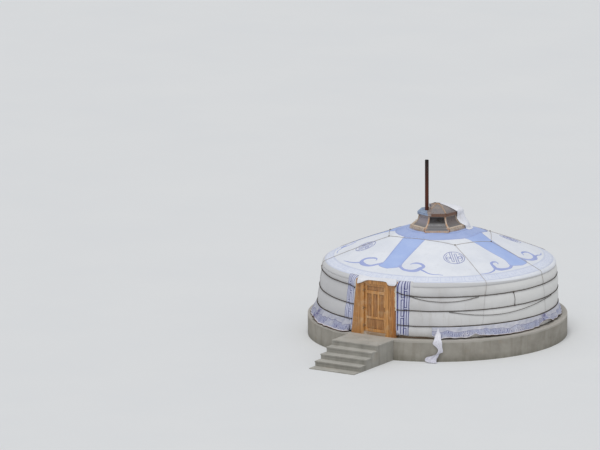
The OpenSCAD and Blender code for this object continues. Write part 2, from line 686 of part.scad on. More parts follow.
module roof_ring_rope() {
    knots = [for (k = [0:len(knot_turns) - 1]) [knot_turns[k], knot_radii[k]]];
    stops = concat(knots, ring_bends, [[knots[0][0] + 360, knots[0][1]]]);
    last = len(stops) - 2;
    color(rope_brown) tube(concat([for (k = [0:last], i = [0:ring_steps - 1])
        on_roof(roof_between(stops[k], stops[k + 1], i / ring_steps))],
        [on_roof(roof_between(stops[last], stops[last + 1], 0.985))]), rope_d / 2, [0, 0, 1]);
}

plinth_drum();
landing_block();
stair_step_upper();
stair_step_middle();
stair_step_lower();
stair_foot_pad();
door_jambs();
door_head();
door_side_boards();
door_threshold();
door_frame_hinges();
door_leaf_frame();
door_leaf_panels();
door_leaf_hinges();
door_handle();
lattice_wall_1();
lattice_wall_2();
lattice_wall_3();
lattice_wall_4();
roof_poles_right();
roof_poles_left();
crown_ring();
crown_curb();
crown_struts();
crown_panes();
crown_cap_frame();
crown_cap_panes();
crown_posts();
chimney_pipe();
chimney_patch();
wall_cover_1();
wall_cover_2();
wall_cover_3();
wall_cover_4();
roof_cover_1();
roof_cover_2();
roof_cover_3();
roof_cover_4();
door_flap();
crown_flap();
skirt_right();
skirt_left();
torn_strip();
girth_ropes();
slack_rope_upper();
slack_rope_middle();
rope_tie();
roof_ropes();
roof_ring_rope();
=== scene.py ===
import math
import bmesh
import bpy
import numpy as np
from mathutils import Matrix, Vector


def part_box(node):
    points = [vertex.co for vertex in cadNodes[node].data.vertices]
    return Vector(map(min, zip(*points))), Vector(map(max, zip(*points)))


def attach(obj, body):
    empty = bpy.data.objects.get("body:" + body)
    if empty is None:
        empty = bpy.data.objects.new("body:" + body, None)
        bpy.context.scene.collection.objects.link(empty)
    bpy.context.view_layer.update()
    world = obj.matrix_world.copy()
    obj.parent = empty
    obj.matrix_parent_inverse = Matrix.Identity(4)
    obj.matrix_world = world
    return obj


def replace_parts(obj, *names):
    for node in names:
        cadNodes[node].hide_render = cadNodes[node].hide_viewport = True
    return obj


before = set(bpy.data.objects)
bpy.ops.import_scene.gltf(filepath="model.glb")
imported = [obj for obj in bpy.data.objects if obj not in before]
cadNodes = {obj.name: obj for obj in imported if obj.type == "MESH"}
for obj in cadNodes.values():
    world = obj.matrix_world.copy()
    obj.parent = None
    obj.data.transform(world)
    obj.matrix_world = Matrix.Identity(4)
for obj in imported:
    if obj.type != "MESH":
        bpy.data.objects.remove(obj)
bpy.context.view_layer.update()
print("frame loaded,", len(cadNodes), "nodes")

# The yurt's main sizes in metres. Heights count from the top of the plinth, and azimuths in degrees
# from the door's centre line, positive towards +X.
yurt = {
    "plinthTop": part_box("plinth_drum")[1].z,
    "ropeHeights": [0.370, 0.800, 1.195],
    "ropeSeats": [3.487, 3.407, 3.340],
    # how much higher a rope runs on the left hand side: turn from the door and rise
    "ropeRises": [[(-180, 0.0), (180, 0.0)],
                  [(-110, 0.0), (-60, 0.060), (-47, 0.050), (-30, 0.020), (-20, 0.0)],
                  [(-115, 0.0), (-85, 0.090), (-60, 0.170), (-47, 0.165), (-32, 0.135), (-10, 0.122),
                   (-9, 0.0)]],
    "footRadius": 3.500,
    "topRadius": 3.312,
    "wallSwell": 0.028,
    "eaveRadius": 3.300,
    "eaveHeight": 1.575,
    "crownRadius": 0.845,
    "crownHeight": 2.540,
    "roofSwell": 0.035,
    "eaveRound": 0.120,
    "eaveOut": 0.025,
    "hemDrop": 0.022,
    "girthRope": 0.026,
    "roofRope": 0.016,
    "boardRight": (0.706, 0.689),   # half widths of the door's boarding at foot and head
    "boardLeft": (0.786, 0.619),
    "boardGap": 0.004,       # between the boarding's edge and the cloth beside it
    "doorHeight": 1.5,
    "clothFront": 3.488,     # how far before the axis the cloth meets the boarding
    "leaveRight": 17.8,      # turns from the door at which the cloth leaves the wall on its way there
    "leaveLeft": 19.0,
    "meanRadius": 3.4,       # turns angles on the wall into lengths
    "slumps": [(118.0, 42.0, 0.122), (301.0, 40.0, 0.028)],   # azimuth, half width, and how far it stands out
    "browHeight": 1.44,      # where the cloth beside the door turns inwards over the eave
    "browRise": 0.18,
    "browRadius": 3.235,
}
printSunk = 0.002   # how far the edges of a print lie below the surface of the cloth


def wayTo(turn, rise=0.0):
    # unit direction from the yurt's axis towards an azimuth and an angle above the horizon, in degrees
    turn, rise = math.radians(turn), math.radians(rise)
    return math.sin(turn) * math.cos(rise), -math.cos(turn) * math.cos(rise), math.sin(rise)


# camera
cameraSet = {
    # the yurt stands low and to the right in the picture, so this axis passes it on the left, and the yurt
    # itself is seen from 31.0 degrees to the right of its door and 12.9 degrees above the horizon
    "turn": 32.15,
    "rise": 12.18,
    "roll": 0.255,
    "distance": 200.0,
    "focalPixels": 6866.0,
    "plinthCentre": (437.5, 312.0),   # where the middle of the plinth's top falls in the picture
    "picture": (600.0, 450.0),
}


def placeCamera(look):
    # a long lens whose three axes come from its turn, rise and roll. It is moved sideways and up until the
    # middle of the plinth's top falls at its place in the picture
    turn = math.radians(look["turn"])
    roll = math.radians(look["roll"])
    back = Vector(wayTo(look["turn"], look["rise"]))
    level = Vector((math.cos(turn), math.sin(turn), 0.0))
    right = level * math.cos(roll) - back.cross(level) * math.sin(roll)
    up = back.cross(right)
    perPixel = look["distance"] / look["focalPixels"]
    wide, high = look["picture"]
    target = Vector((0.0, 0.0, yurt["plinthTop"]))
    target -= right * (look["plinthCentre"][0] - wide / 2) * perPixel
    target += up * (look["plinthCentre"][1] - high / 2) * perPixel
    lens = bpy.data.cameras.new("camera")
    lens.sensor_width = 36.0
    lens.lens = look["focalPixels"] * lens.sensor_width / wide
    lens.clip_start = 1.0
    lens.clip_end = 2000.0
    camera = bpy.data.objects.new("camera", lens)
    bpy.context.scene.collection.objects.link(camera)
    camera.location = target + back * look["distance"]
    camera.rotation_mode = "QUATERNION"
    camera.rotation_quaternion = Matrix((right, up, back)).transposed().to_quaternion()
    bpy.context.scene.camera = camera


placeCamera(cameraSet)
bpy.context.scene.view_settings.view_transform = "Standard"
print("camera placed")


# places on the yurt
def around(radius, az, height):
    # point at a radius, an azimuth and a height above the plinth
    a = np.radians(az)
    return np.stack([radius * np.sin(a), -radius * np.cos(a), yurt["plinthTop"] + height + 0.0 * a], -1)


def fromDoor(az):
    # the same azimuth as a turn from the door, between -180 and 180 degrees
    return (az + 180.0) % 360.0 - 180.0


def bell(value, middle, half):
    # bell curve: 1 at the middle, and 1/e at a distance of half from it
    return np.exp(-((value - middle) / half) ** 2)


def ripple(az, seed, low, high, slip=0.0, terms=8):
    # sum of cosines with whole-number frequencies between low and high and seeded phases, about -1 to 1;
    # slip moves the phases along the other direction
    dice = np.random.default_rng(seed)
    turns = dice.integers(low, high + 1, terms)
    phases = dice.uniform(0, 2 * np.pi, terms)
    weights = dice.uniform(0.5, 1.0, terms)
    drifts = dice.uniform(-1.0, 1.0, terms)
    total = 0.0
    for turn, phase, weight, drift in zip(turns, phases, weights, drifts):
        total = total + weight * np.cos(turn * np.radians(az) + phase + drift * slip)
    return total / sum(weights) * 1.8


def eased(share):
    # 0 below 0, 1 above 1 and a smooth rise between them
    share = np.clip(share, 0, 1)
    return share * share * (3 - 2 * share)


def slumped(az):
    # how far the covers stand out from the lattice: a bell curve round the yurt for each slumped place
    return sum(amount * bell(fromDoor(az - middle), 0.0, half) for middle, half, amount in yurt["slumps"])


roofRun = yurt["eaveRadius"] - yurt["crownRadius"]
roofRise = yurt["crownHeight"] - yurt["eaveHeight"]
roofSlope = math.atan2(roofRise, roofRun)
coneShare = math.cos(roofSlope)
eaveSlope = math.atan2(roofRise + yurt["roofSwell"] * math.pi, roofRun)


def roofHeight(radius):
    # straight cone plus one half sine wave of belly
    share = (yurt["eaveRadius"] - radius) / roofRun
    return yurt["eaveHeight"] + roofRise * share + yurt["roofSwell"] * np.sin(np.pi * share)


arcRadius = yurt["eaveRadius"] + yurt["eaveOut"] - yurt["eaveRound"]
arcStart = arcRadius + yurt["eaveRound"] * math.sin(eaveSlope)
arcHeight = float(roofHeight(arcStart)) - yurt["eaveRound"] * math.cos(eaveSlope)
wallTop = arcHeight - 0.004
coneSteps = 90   # places along the cone in the cover's outline


def roofOutline():
    # radius and height along the cover from the crown to the hem: cone, a quarter round, then straight down
    conical = np.linspace(yurt["crownRadius"], arcStart, coneSteps)
    turn = np.linspace(math.pi / 2 - eaveSlope, 0, 24)[1:]
    drop = np.linspace(0, 1, 5)[1:]
    edge = arcRadius + yurt["eaveRound"]
    radius = np.concatenate([conical, arcRadius + yurt["eaveRound"] * np.cos(turn), edge - 0.002 * drop])
    height = np.concatenate([roofHeight(conical), arcHeight + yurt["eaveRound"] * np.sin(turn),
                             arcHeight - yurt["hemDrop"] * drop])
    along = np.concatenate([[0.0], np.cumsum(np.hypot(np.diff(radius), np.diff(height)))])
    return radius, height, along


outlineRadius, outlineHeight, outlineAlong = roofOutline()
hemAlong = outlineAlong[-1]
outlineOut = np.gradient(outlineHeight, outlineAlong) * -1.0
outlineUp = np.gradient(outlineRadius, outlineAlong)


def alongAt(radius):
    # distance along the cover at which the cone has this radius
    return np.interp(radius, outlineRadius[:coneSteps], outlineAlong[:coneSteps])


def roofRelief(az, along):
    # low waves, faint ridges over the poles and a little sag between them, fading out at crown and hem
    share = np.clip(along / hemAlong, 0, 1)
    hold = np.sin(np.pi * np.clip(share, 0.02, 1)) ** 0.5
    waves = 0.007 * ripple(az, 11, 3, 14, 5 * share) + 0.003 * ripple(az, 12, 20, 50, 9 * share)
    poles = np.abs(np.cos(np.radians(az) * 30)) ** 0.6 - 0.6
    ridges = 0.0035 * poles * np.sin(np.pi * np.clip(share * 1.05, 0, 1))
    pinch = 0.004 * ripple(az, 13, 60, 110, 2.0) * bell(along, alongAt(3.2), 0.12)
    return hold * waves + ridges + pinch


def roofPoint(az, along, lift):
    # the cover's outline turned round the yurt's axis, pushed out where it has slumped, and moved along its
    # normal by lift and the relief
    radius = np.interp(along, outlineAlong, outlineRadius)
    radius = radius + slumped(az) * eased((radius - 1.2) / 2.0)
    height = np.interp(along, outlineAlong, outlineHeight)
    out = np.interp(along, outlineAlong, outlineOut)
    up = np.interp(along, outlineAlong, outlineUp)
    size = np.hypot(out, up)
    move = lift + roofRelief(az, along)
    return around(radius + move * out / size, az, height + move * up / size)


def onPattern(across, down, axis, lift):
    # a flat drawing laid on the cone: across and down from the cone's tip along the line at azimuth axis
    reach = np.hypot(across, down)
    az = axis + np.degrees(np.arctan2(across, down)) / coneShare
    return roofPoint(az, alongAt(reach * coneShare), lift)


bayEdges = np.array([0.025, *yurt["ropeHeights"], wallTop])


def ropeLevel(k, az):
    # height of a girth rope at an azimuth: its level, plus its rise by straight lines between given places
    return yurt["ropeHeights"][k] + np.interp(fromDoor(az), *zip(*yurt["ropeRises"][k]))


def levelled(az, height):
    # the height that a place on the wall would have if all ropes ran level, by straight lines between ropes
    real = [bayEdges[0], *(ropeLevel(k, az) for k in range(3)), wallTop]
    level = height + 0 * az
    for k in range(4):
        share = (height - real[k]) / (real[k + 1] - real[k])
        flat = bayEdges[k] + (bayEdges[k + 1] - bayEdges[k]) * share
        level = np.where((share >= 0) & (share < 1), flat, level)
    return level


def wallSeat(height):
    # radius of the wall's cloth where it is pulled in tight, by straight lines between the ropes
    return np.interp(height, [0.0, *yurt["ropeHeights"], yurt["eaveHeight"]],
                     [yurt["footRadius"], *yurt["ropeSeats"], yurt["topRadius"]])


def boardHalf(side, height):
    # how far the boarding reaches to one side at a height, by a straight line from foot to head
    foot, head = yurt[side]
    return foot + (head - foot) * height / yurt["doorHeight"]


def pulledOut(az, height, radius, flat):
    # beside the door the cloth is pulled straight from the wall to the front edge of the boarding: the
    # radius of the straight line from that edge to the place on the wall where the cloth leaves it
    front = yurt["clothFront"]
    sides = [("boardRight", yurt["leaveRight"], 1.0), ("boardLeft", yurt["leaveLeft"], -1.0)]
    for side, leave, sign in sides:
        turn = fromDoor(az) * sign
        edge = boardHalf(side, height) + yurt["boardGap"]
        goal = flat * np.sin(np.radians(leave)), flat * np.cos(np.radians(leave))
        alongX, alongY = goal[0] - edge, goal[1] - front
        t = np.radians(np.clip(turn, 5.0, leave))
        straight = (edge * alongY - front * alongX) / (np.sin(t) * alongY - np.cos(t) * alongX)
        share = np.clip((leave - turn) / (leave - 11.0), 0, 1)
        sag = 0.012 * np.sin(np.pi * share)
        near = (turn < leave) & (turn > 5.0)
        radius = np.where(near, straight - sag + (radius - flat) * (1 - share) ** 2, radius)
    return radius


def wallRadius(az, height):
    # straight lines between the ropes plus half a sine wave of swell in each bay, flatter towards the eave,
    # gathers near each rope and long low waves
    level = levelled(az, height)
    bay = np.clip(np.searchsorted(bayEdges, level, side="right") - 1, 0, 3)
    share = np.clip((level - bayEdges[bay]) / (bayEdges[bay + 1] - bayEdges[bay]), 0, 1)
    swell = yurt["wallSwell"] * np.sin(np.pi * share) * (0.92 + 0.18 * ripple(az, 21, 4, 18, 3.0 * bay))
    tall = (wallTop - ropeLevel(2, az)) / (wallTop - bayEdges[3])
    swell = swell * np.where(bay == 3, tall * (1 - share ** 3), 1.0)
    near = np.min(np.abs(level[..., None] - np.array(yurt["ropeHeights"])), -1)
    gathers = 0.0045 * ripple(az, 22, 50, 150, 1.5 * bay, 12) * bell(near, 0.0, 0.09)
    gathers = gathers * np.clip(near / 0.012, 0, 1)
    creases = 0.0030 * ripple(az, 23, 24, 70, 6.0 * height) * np.sin(np.pi * share)
    tucked = 0.018 * eased((height - wallTop + 0.016) / 0.012)
    seat = wallSeat(height) + slumped(az) * eased((height - 0.2) / 1.0) - tucked
    return pulledOut(az, height, seat + swell + gathers + creases, seat + swell)


def wallPoint(az, height, lift):
    # on the wall cloth at an azimuth and a height, moved outwards by lift
    return around(wallRadius(az, height) + lift, az, height)


def sidePoint(az, height, lift):
    # on the wall cloth, and above the brow's height over a quarter of an ellipse that ends on the roof
    low = np.minimum(height, yurt["browHeight"])
    turn = np.clip((height - yurt["browHeight"]) / yurt["browRise"], 0, 1) * np.pi / 2
    radius = yurt["browRadius"] + (wallRadius(az, low) + lift - yurt["browRadius"]) * np.cos(turn)
    top = roofHeight(yurt["browRadius"]) + 0.020 + lift
    return around(radius, az, low + (top - yurt["browHeight"]) * np.sin(turn))


# mesh parts
def loft(rings, uv=None, closedPath=False, caps="fan"):
    # rings is (n, k, 3): quads join ring i to ring i+1 all round, and the end rings are closed by one
    # face each, or by a strip of quads when the ring runs out along one side and back along the other
    n, k = rings.shape[:2]
    i = np.arange(n if closedPath else n - 1)[:, None]
    j = np.arange(k)[None, :]
    here, after = i * k, ((i + 1) % n) * k
    quads = np.stack([here + j, here + (j + 1) % k, after + (j + 1) % k, after + j], -1).reshape(-1, 4)
    faces = [quads]
    if not closedPath and caps == "fan":
        faces += [np.arange(k)[None, ::-1], np.arange(k)[None, :] + (n - 1) * k]
    if not closedPath and caps == "strip":
        a = np.arange(k // 2 - 1)
        strip = np.stack([a, a + 1, k - 2 - a, k - 1 - a], -1)
        faces += [strip[:, ::-1], strip + (n - 1) * k]
    flat = rings.reshape(-1, 3)
    if uv is None:
        step = np.concatenate([[0.0], np.cumsum(np.linalg.norm(np.diff(rings.mean(1), axis=0), axis=1))])
        uv = np.stack(np.broadcast_arrays(step[:, None], np.linspace(0, 1, k)[None, :]), -1)
    return flat, faces, np.asarray(uv, float).reshape(-1, 2)


def makePiece(name, parts, finish):
    # joins lofted parts into one object with outward faces, a map and its material
    points, faces, maps, start = [], [], [], 0
    for flat, groups, uv in parts:
        points.append(flat)
        maps.append(uv)
        faces += [row for group in groups for row in (group + start).tolist()]
        start += len(flat)
    mesh = bpy.data.meshes.new(name)
    mesh.from_pydata(np.concatenate(points).tolist(), [], faces)
    work = bmesh.new()
    work.from_mesh(mesh)
    bmesh.ops.recalc_face_normals(work, faces=work.faces)
    work.to_mesh(mesh)
    work.free()
    corner = np.zeros(len(mesh.loops), np.int64)
    mesh.loops.foreach_get("vertex_index", corner)
    layer = mesh.uv_layers.new(name="map")
    layer.data.foreach_set("uv", np.concatenate(maps)[corner].astype(np.float32).ravel())
    mesh.polygons.foreach_set("use_smooth", np.ones(len(mesh.polygons), bool))
    mesh.materials.append(finish)
    piece = bpy.data.objects.new(name, mesh)
    bpy.context.scene.collection.objects.link(piece)
    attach(piece, "yurt")
    return piece


def smoothLine(points, count):
    # cubic curve through the points, read at count places evenly spaced by length
    p = np.asarray(points, float)
    before = np.concatenate([[2 * p[0] - p[1]], p[:-2]])
    after = np.concatenate([p[2:], [2 * p[-1] - p[-2]]])
    t = np.linspace(0, 1, 24, endpoint=False)[None, :, None]
    a, b, c, d = before[:, None], p[:-1, None], p[1:, None], after[:, None]
    curve = b + (c - a) * t / 2 + (a - 2.5 * b + 2 * c - d / 2) * t ** 2
    curve = curve + (1.5 * b - a / 2 - 1.5 * c + d / 2) * t ** 3
    curve = np.concatenate([curve.reshape(-1, p.shape[1]), p[-1:]])
    return evenLine(curve, count)


def evenLine(curve, count):
    # the same line read at count places evenly spaced by length
    curve = np.asarray(curve, float)
    length = np.concatenate([[0.0], np.cumsum(np.linalg.norm(np.diff(curve, axis=0), axis=1))])
    at = np.linspace(0, length[-1], count)
    return np.stack([np.interp(at, length, curve[:, i]) for i in range(curve.shape[1])], -1)


def ribbon(line, width, lay, lift):
    # a flat band along a drawn line: its edges lie half a width to each side, and lay puts it on the cover
    line = np.asarray(line, float)
    way = np.gradient(line, axis=0)
    way /= np.linalg.norm(way, axis=1)[:, None]
    side = np.stack([-way[:, 1], way[:, 0]], -1)
    half = np.broadcast_to(np.asarray(width, float) / 2, len(line))[:, None]
    shape = [(-1.0, -printSunk), (-0.9, lift), (0.0, lift * 1.15), (0.9, lift), (1.0, -printSunk)]
    rings = []
    for share, height in shape:
        edge = line + side * half * share
        rings.append(lay(edge[:, 0], edge[:, 1], height))
    return loft(np.stack(rings, 1))


def mitred(corners, width, lay, lift, inner):
    # a band along straight runs with square corners: the edges are moved along each corner's bisector
    c = np.asarray(corners, float)
    run = np.diff(c, axis=0)
    run /= np.linalg.norm(run, axis=1)[:, None]
    side = np.stack([-run[:, 1], run[:, 0]], -1)
    first, last = np.concatenate([side[:1], side]), np.concatenate([side, side[-1:]])
    bisect = (first + last) / (1 + np.sum(first * last, 1))[:, None]
    share = np.linspace(0, 1, inner, endpoint=False)
    steps = np.concatenate([(np.arange(len(c) - 1)[:, None] + share).ravel(), [len(c) - 1.0]])
    at = np.arange(len(c))
    line = np.stack([np.interp(steps, at, c[:, i]) for i in range(2)], -1)
    edge = np.stack([np.interp(steps, at, bisect[:, i]) for i in range(2)], -1) * width / 2
    rings = []
    for off, height in [(-1.0, -printSunk), (-0.92, lift), (0.92, lift), (1.0, -printSunk)]:
        spot = line + edge * off
        rings.append(lay(spot[:, 0], spot[:, 1], height))
    return loft(np.stack(rings, 1))


def filled(left, right, lay, lift, rows=90, columns=16):
    # a flat shape ruled between two drawn edges, closed underneath
    a, b = evenLine(left, rows), evenLine(right, rows)
    share = np.linspace(0, 1, columns)
    top = a[:, None] * (1 - share[None, :, None]) + b[:, None] * share[None, :, None]
    upper = lay(top[..., 0], top[..., 1], lift)
    lower = lay(top[:, ::-1, 0], top[:, ::-1, 1], -printSunk)
    return loft(np.concatenate([upper, lower], 1), caps="strip")


def rope(path, outward, radius, strands=3, lay=0.10, sides=9, closedPath=False):
    # a laid rope: a lobed round profile that turns once in each lay length as it goes along the path
    path = np.asarray(path, float)
    way = np.gradient(path, axis=0)
    if closedPath:
        way = np.roll(path, -1, 0) - np.roll(path, 1, 0)
    way /= np.linalg.norm(way, axis=1)[:, None]
    side = np.cross(way, outward)
    side /= np.linalg.norm(side, axis=1)[:, None]
    up = np.cross(side, way)
    length = np.concatenate([[0.0], np.cumsum(np.linalg.norm(np.diff(path, axis=0), axis=1))])
    angle = 2 * np.pi * (np.arange(sides)[None, :] / sides + length[:, None] / lay)
    size = radius * (1 - 0.16 * (np.arange(sides) % (sides // strands) != 0))[None, :]
    rise, aside = (size * np.cos(angle))[..., None], (size * np.sin(angle))[..., None]
    rings = path[:, None] + rise * up[:, None] + aside * side[:, None]
    uv = np.stack(np.broadcast_arrays(length[:, None], np.arange(sides)[None, :] / sides), -1)
    return loft(rings, uv, closedPath)


def knot(spot, outward, size):
    # a round lump with spiral grooves: radius falls and rises with the angle plus the height
    v = np.linspace(0.06, 0.94, 9)[:, None] * np.pi
    u = np.linspace(0, 2 * np.pi, 16, endpoint=False)[None, :]
    swell = size * (1 + 0.16 * np.cos(3 * u + 4 * v))
    out = np.asarray(outward, float) / np.linalg.norm(outward)
    side = np.cross(out, [0.3, 0.2, 0.93])
    side /= np.linalg.norm(side)
    up = np.cross(side, out)
    body = (swell * np.sin(v) * np.cos(u))[..., None] * side + (swell * np.sin(v) * np.sin(u))[..., None] * up
    return loft(np.asarray(spot, float) + body + (0.8 * swell * np.cos(v))[..., None] * out)


# finishes
def tint(colour):
    # a colour given as on a screen, 0 to 255, in the renderer's linear numbers
    c = np.array(colour) / 255.0
    linear = np.where(c <= 0.04045, c / 12.92, ((c + 0.055) / 1.055) ** 2.4)
    return (*[float(x) for x in linear], 1.0)


def startFinish(name, **shaderValues):
    # a cleared material with one shader; in the names of the shader's sockets _ stands for a space
    finish = bpy.data.materials.new(name)
    finish.use_nodes = True
    tree = finish.node_tree
    tree.nodes.clear()
    shader = tree.nodes.new("ShaderNodeBsdfPrincipled")
    tree.links.new(shader.outputs[0], tree.nodes.new("ShaderNodeOutputMaterial").inputs[0])
    for socket, value in shaderValues.items():
        shader.inputs[socket.replace("_", " ")].default_value = value
    return finish, tree, shader


def put(tree, kind, inputs, **settings):
    # adds one node; its inputs are plain values, or other nodes' outputs, which get linked
    made = tree.nodes.new("ShaderNode" + kind)
    for key, value in settings.items():
        setattr(made, key, value)
    for socket, value in inputs.items():
        if isinstance(value, bpy.types.NodeSocket):
            tree.links.new(value, made.inputs[socket])
        else:
            made.inputs[socket].default_value = value
    return made


def spotOf(tree):
    # the point's own coordinates, which are the scene's
    return put(tree, "TexCoord", {}).outputs["Object"]


def heightOf(tree):
    # height above the ground
    return put(tree, "SeparateXYZ", {0: spotOf(tree)}).outputs[2]


def place(tree, useMap=False, scale=(1, 1, 1)):
    # the point's coordinates, or those of its map, stretched for a pattern
    source = put(tree, "TexCoord", {}).outputs["UV" if useMap else "Object"]
    return put(tree, "Mapping", {"Vector": source, "Scale": scale}).outputs[0]


def noise(tree, where, scale, detail=5.0, rough=0.55, warp=0.0):
    # cloudy numbers round one half; scale counts the clouds in a metre
    return put(tree, "TexNoise", {"Vector": where, "Scale": scale, "Detail": detail, "Roughness": rough,
                                  "Distortion": warp}).outputs["Fac"]


def wrinkles(tree):
    # soft upright folds shared by all cloth of the cover
    return noise(tree, place(tree, scale=(6.0, 6.0, 3.0)), 1.0, 5.0, 0.5, 0.8)


def spread(tree, value, low, high, to=(0.0, 1.0)):
    # a value from low to high, stretched to another range and held at its ends
    return put(tree, "MapRange", {"Value": value, "From Min": low, "From Max": high, "To Min": to[0],
                                  "To Max": to[1]}).outputs[0]


def maths(tree, operation, a, b=0.0):
    # one sum, product or other operation on two numbers
    return put(tree, "Math", {0: a, 1: b}, operation=operation).outputs[0]


def times(tree, a, b):
    # the product of two numbers
    return maths(tree, "MULTIPLY", a, b)


def blend(tree, share, a, b):
    # (1 - share) of colour a plus share of colour b; each is a node's output, or three screen numbers
    a, b = [tint(colour) if isinstance(colour, tuple) else colour for colour in (a, b)]
    return put(tree, "Mix", {0: share, 6: a, 7: b}, data_type="RGBA").outputs[2]


def over(tree, colour, mask, amount, other):
    # another colour laid over the first where the mask is 1, as strongly as amount says
    return blend(tree, times(tree, mask, amount), colour, other)


def towards(tree, spot, az):
    # how far a spot lies towards an azimuth: its product with the level direction there
    return put(tree, "VectorMath", {0: spot, 1: wayTo(az)}, operation="DOT_PRODUCT").outputs["Value"]


def facing(tree, az, low, high):
    # rises from 0 to 1 as the point's direction from the axis comes within an angle of az: the cosine of the
    # angle between them, spread between two values
    level = put(tree, "VectorMath", {0: spotOf(tree), 1: (1.0, 1.0, 0.0)}, operation="MULTIPLY").outputs[0]
    way = put(tree, "VectorMath", {0: level}, operation="NORMALIZE").outputs[0]
    return spread(tree, towards(tree, way, az), low, high)


def beyond(tree, az, low, high):
    # rises from 0 to 1 between two distances from the yurt's axis measured along the azimuth az
    return spread(tree, towards(tree, spotOf(tree), az), low, high)


def finished(made, colour, relief, strength, distance, rough=None):
    # the started material with its colour, bump and, where given, roughness linked to the shader
    finish, tree, shader = made
    tree.links.new(colour, shader.inputs["Base Color"])
    if rough is not None:
        tree.links.new(rough, shader.inputs["Roughness"])
    bump = put(tree, "Bump", {"Height": relief, "Strength": strength, "Distance": distance})
    tree.links.new(bump.outputs[0], shader.inputs["Normal"])
    return finish


def canvasFinish(name, base, shade, dirt, low=None, weave=1.0, eave=None, sides=()):
    # woven cloth: fine weave and soft wrinkles in the bump, pale mottling, streaks, and a darker colour that
    # fades out between two heights (dirt, and on the torn strip also painted shade). Where an eave is given
    # the cloth is painted greyer below its height, as painted shade where the cover turns down over the eave;
    # that height falls off towards one side. Where sides are given it is painted lighter or darker towards
    # these azimuths, as painted light and painted shade
    made = startFinish(name, Roughness=0.85, Sheen_Weight=0.15, Sheen_Roughness=0.6, IOR=1.4)
    tree = made[1]
    where = place(tree)
    fine = noise(tree, where, 22.0, 6.0, 0.6)
    colour = blend(tree, spread(tree, noise(tree, where, 1.3, 4.0), 0.35, 0.68), base, shade)
    streak = noise(tree, place(tree, scale=(9.0, 9.0, 0.7)), 1.0, 5.0, 0.6)
    colour = over(tree, colour, spread(tree, streak, 0.56, 0.78), 0.35, dirt)
    if low is not None:
        foot, top, amount = low
        patch = times(tree, spread(tree, heightOf(tree), foot, top, (1.0, 0.0)),
                      spread(tree, fine, 0.3, 0.65, (0.25, 1.0)))
        colour = over(tree, colour, patch, amount, dirt)
    # painted light and painted shade towards the given azimuths
    for az, start, full, other in sides:
        colour = over(tree, colour, facing(tree, az, start, full), 0.8, other)
    # painted shade: below the eave's height the cloth is greyed so that it looks shaded like the wall
    if eave is not None:
        fallen = times(tree, facing(tree, eave["az"], 0.3, 1.0), eave["fall"])
        level = maths(tree, "ADD", heightOf(tree), fallen)
        edge = eave["height"]
        grey = blend(tree, spread(tree, level, edge - eave["fade"], edge), eave["lower"], eave["upper"])
        colour = blend(tree, spread(tree, level, edge - 0.012, edge + 0.012, (1.0, 0.0)), colour, grey)
    weaves = [put(tree, "TexWave", {"Vector": place(tree, True, (260.0, 260.0, 1)), "Distortion": 0.6,
                                    "Scale": 1.0}, wave_type="BANDS", bands_direction=way).outputs["Fac"]
              for way in "XY"]
    relief = maths(tree, "ADD", times(tree, maths(tree, "ADD", *weaves), 0.04 * weave),
                   maths(tree, "ADD", times(tree, fine, 0.15), wrinkles(tree)))
    return finished(made, colour, relief, 0.28, 0.02)


def printFinish(name, base, shade, edge):
    # dyed cloth on the cover: the same wrinkles, with the dye thinner in places and darker in others
    made = startFinish(name, Roughness=0.8, Sheen_Weight=0.1, IOR=1.4)
    tree = made[1]
    where = place(tree)
    fine = noise(tree, where, 60.0, 5.0, 0.7)
    colour = blend(tree, spread(tree, noise(tree, where, 1.8, 5.0), 0.35, 0.7), base, shade)
    colour = over(tree, colour, spread(tree, fine, 0.52, 0.75), 0.35, edge)
    return finished(made, colour, maths(tree, "ADD", wrinkles(tree), times(tree, fine, 0.2)), 0.2, 0.02)


def bayWood(tree, colour, grained, bay):
    # the crown's front bay: bare wood with greyed blotches, darker at the two upper corners, and grey along
    # the gap between sill and pane
    height = heightOf(tree)
    bare = blend(tree, grained, bay["dark"], bay["light"])
    blotches = spread(tree, noise(tree, place(tree), 11.0, 3.0, 0.6), 0.42, 0.52)
    bare = over(tree, bare, blotches, bay["blotched"], bay["blotch"])
    corner = times(tree, facing(tree, bay["az"], *bay["cornerTurns"]),
                   spread(tree, height, *bay["cornerHeights"]))
    bare = over(tree, bare, corner, 0.8, bay["corner"])
    near = times(tree, facing(tree, bay["az"], bay["edge"], bay["edge"] + 0.01),
                 spread(tree, height, bay["top"], bay["top"] + 0.01, (1.0, 0.0)))
    gap = times(tree, facing(tree, bay["az"], *bay["gapTurns"]), spread(tree, height, *bay["gapHeights"]))
    return blend(tree, gap, blend(tree, near, colour, bare), bay["gap"])


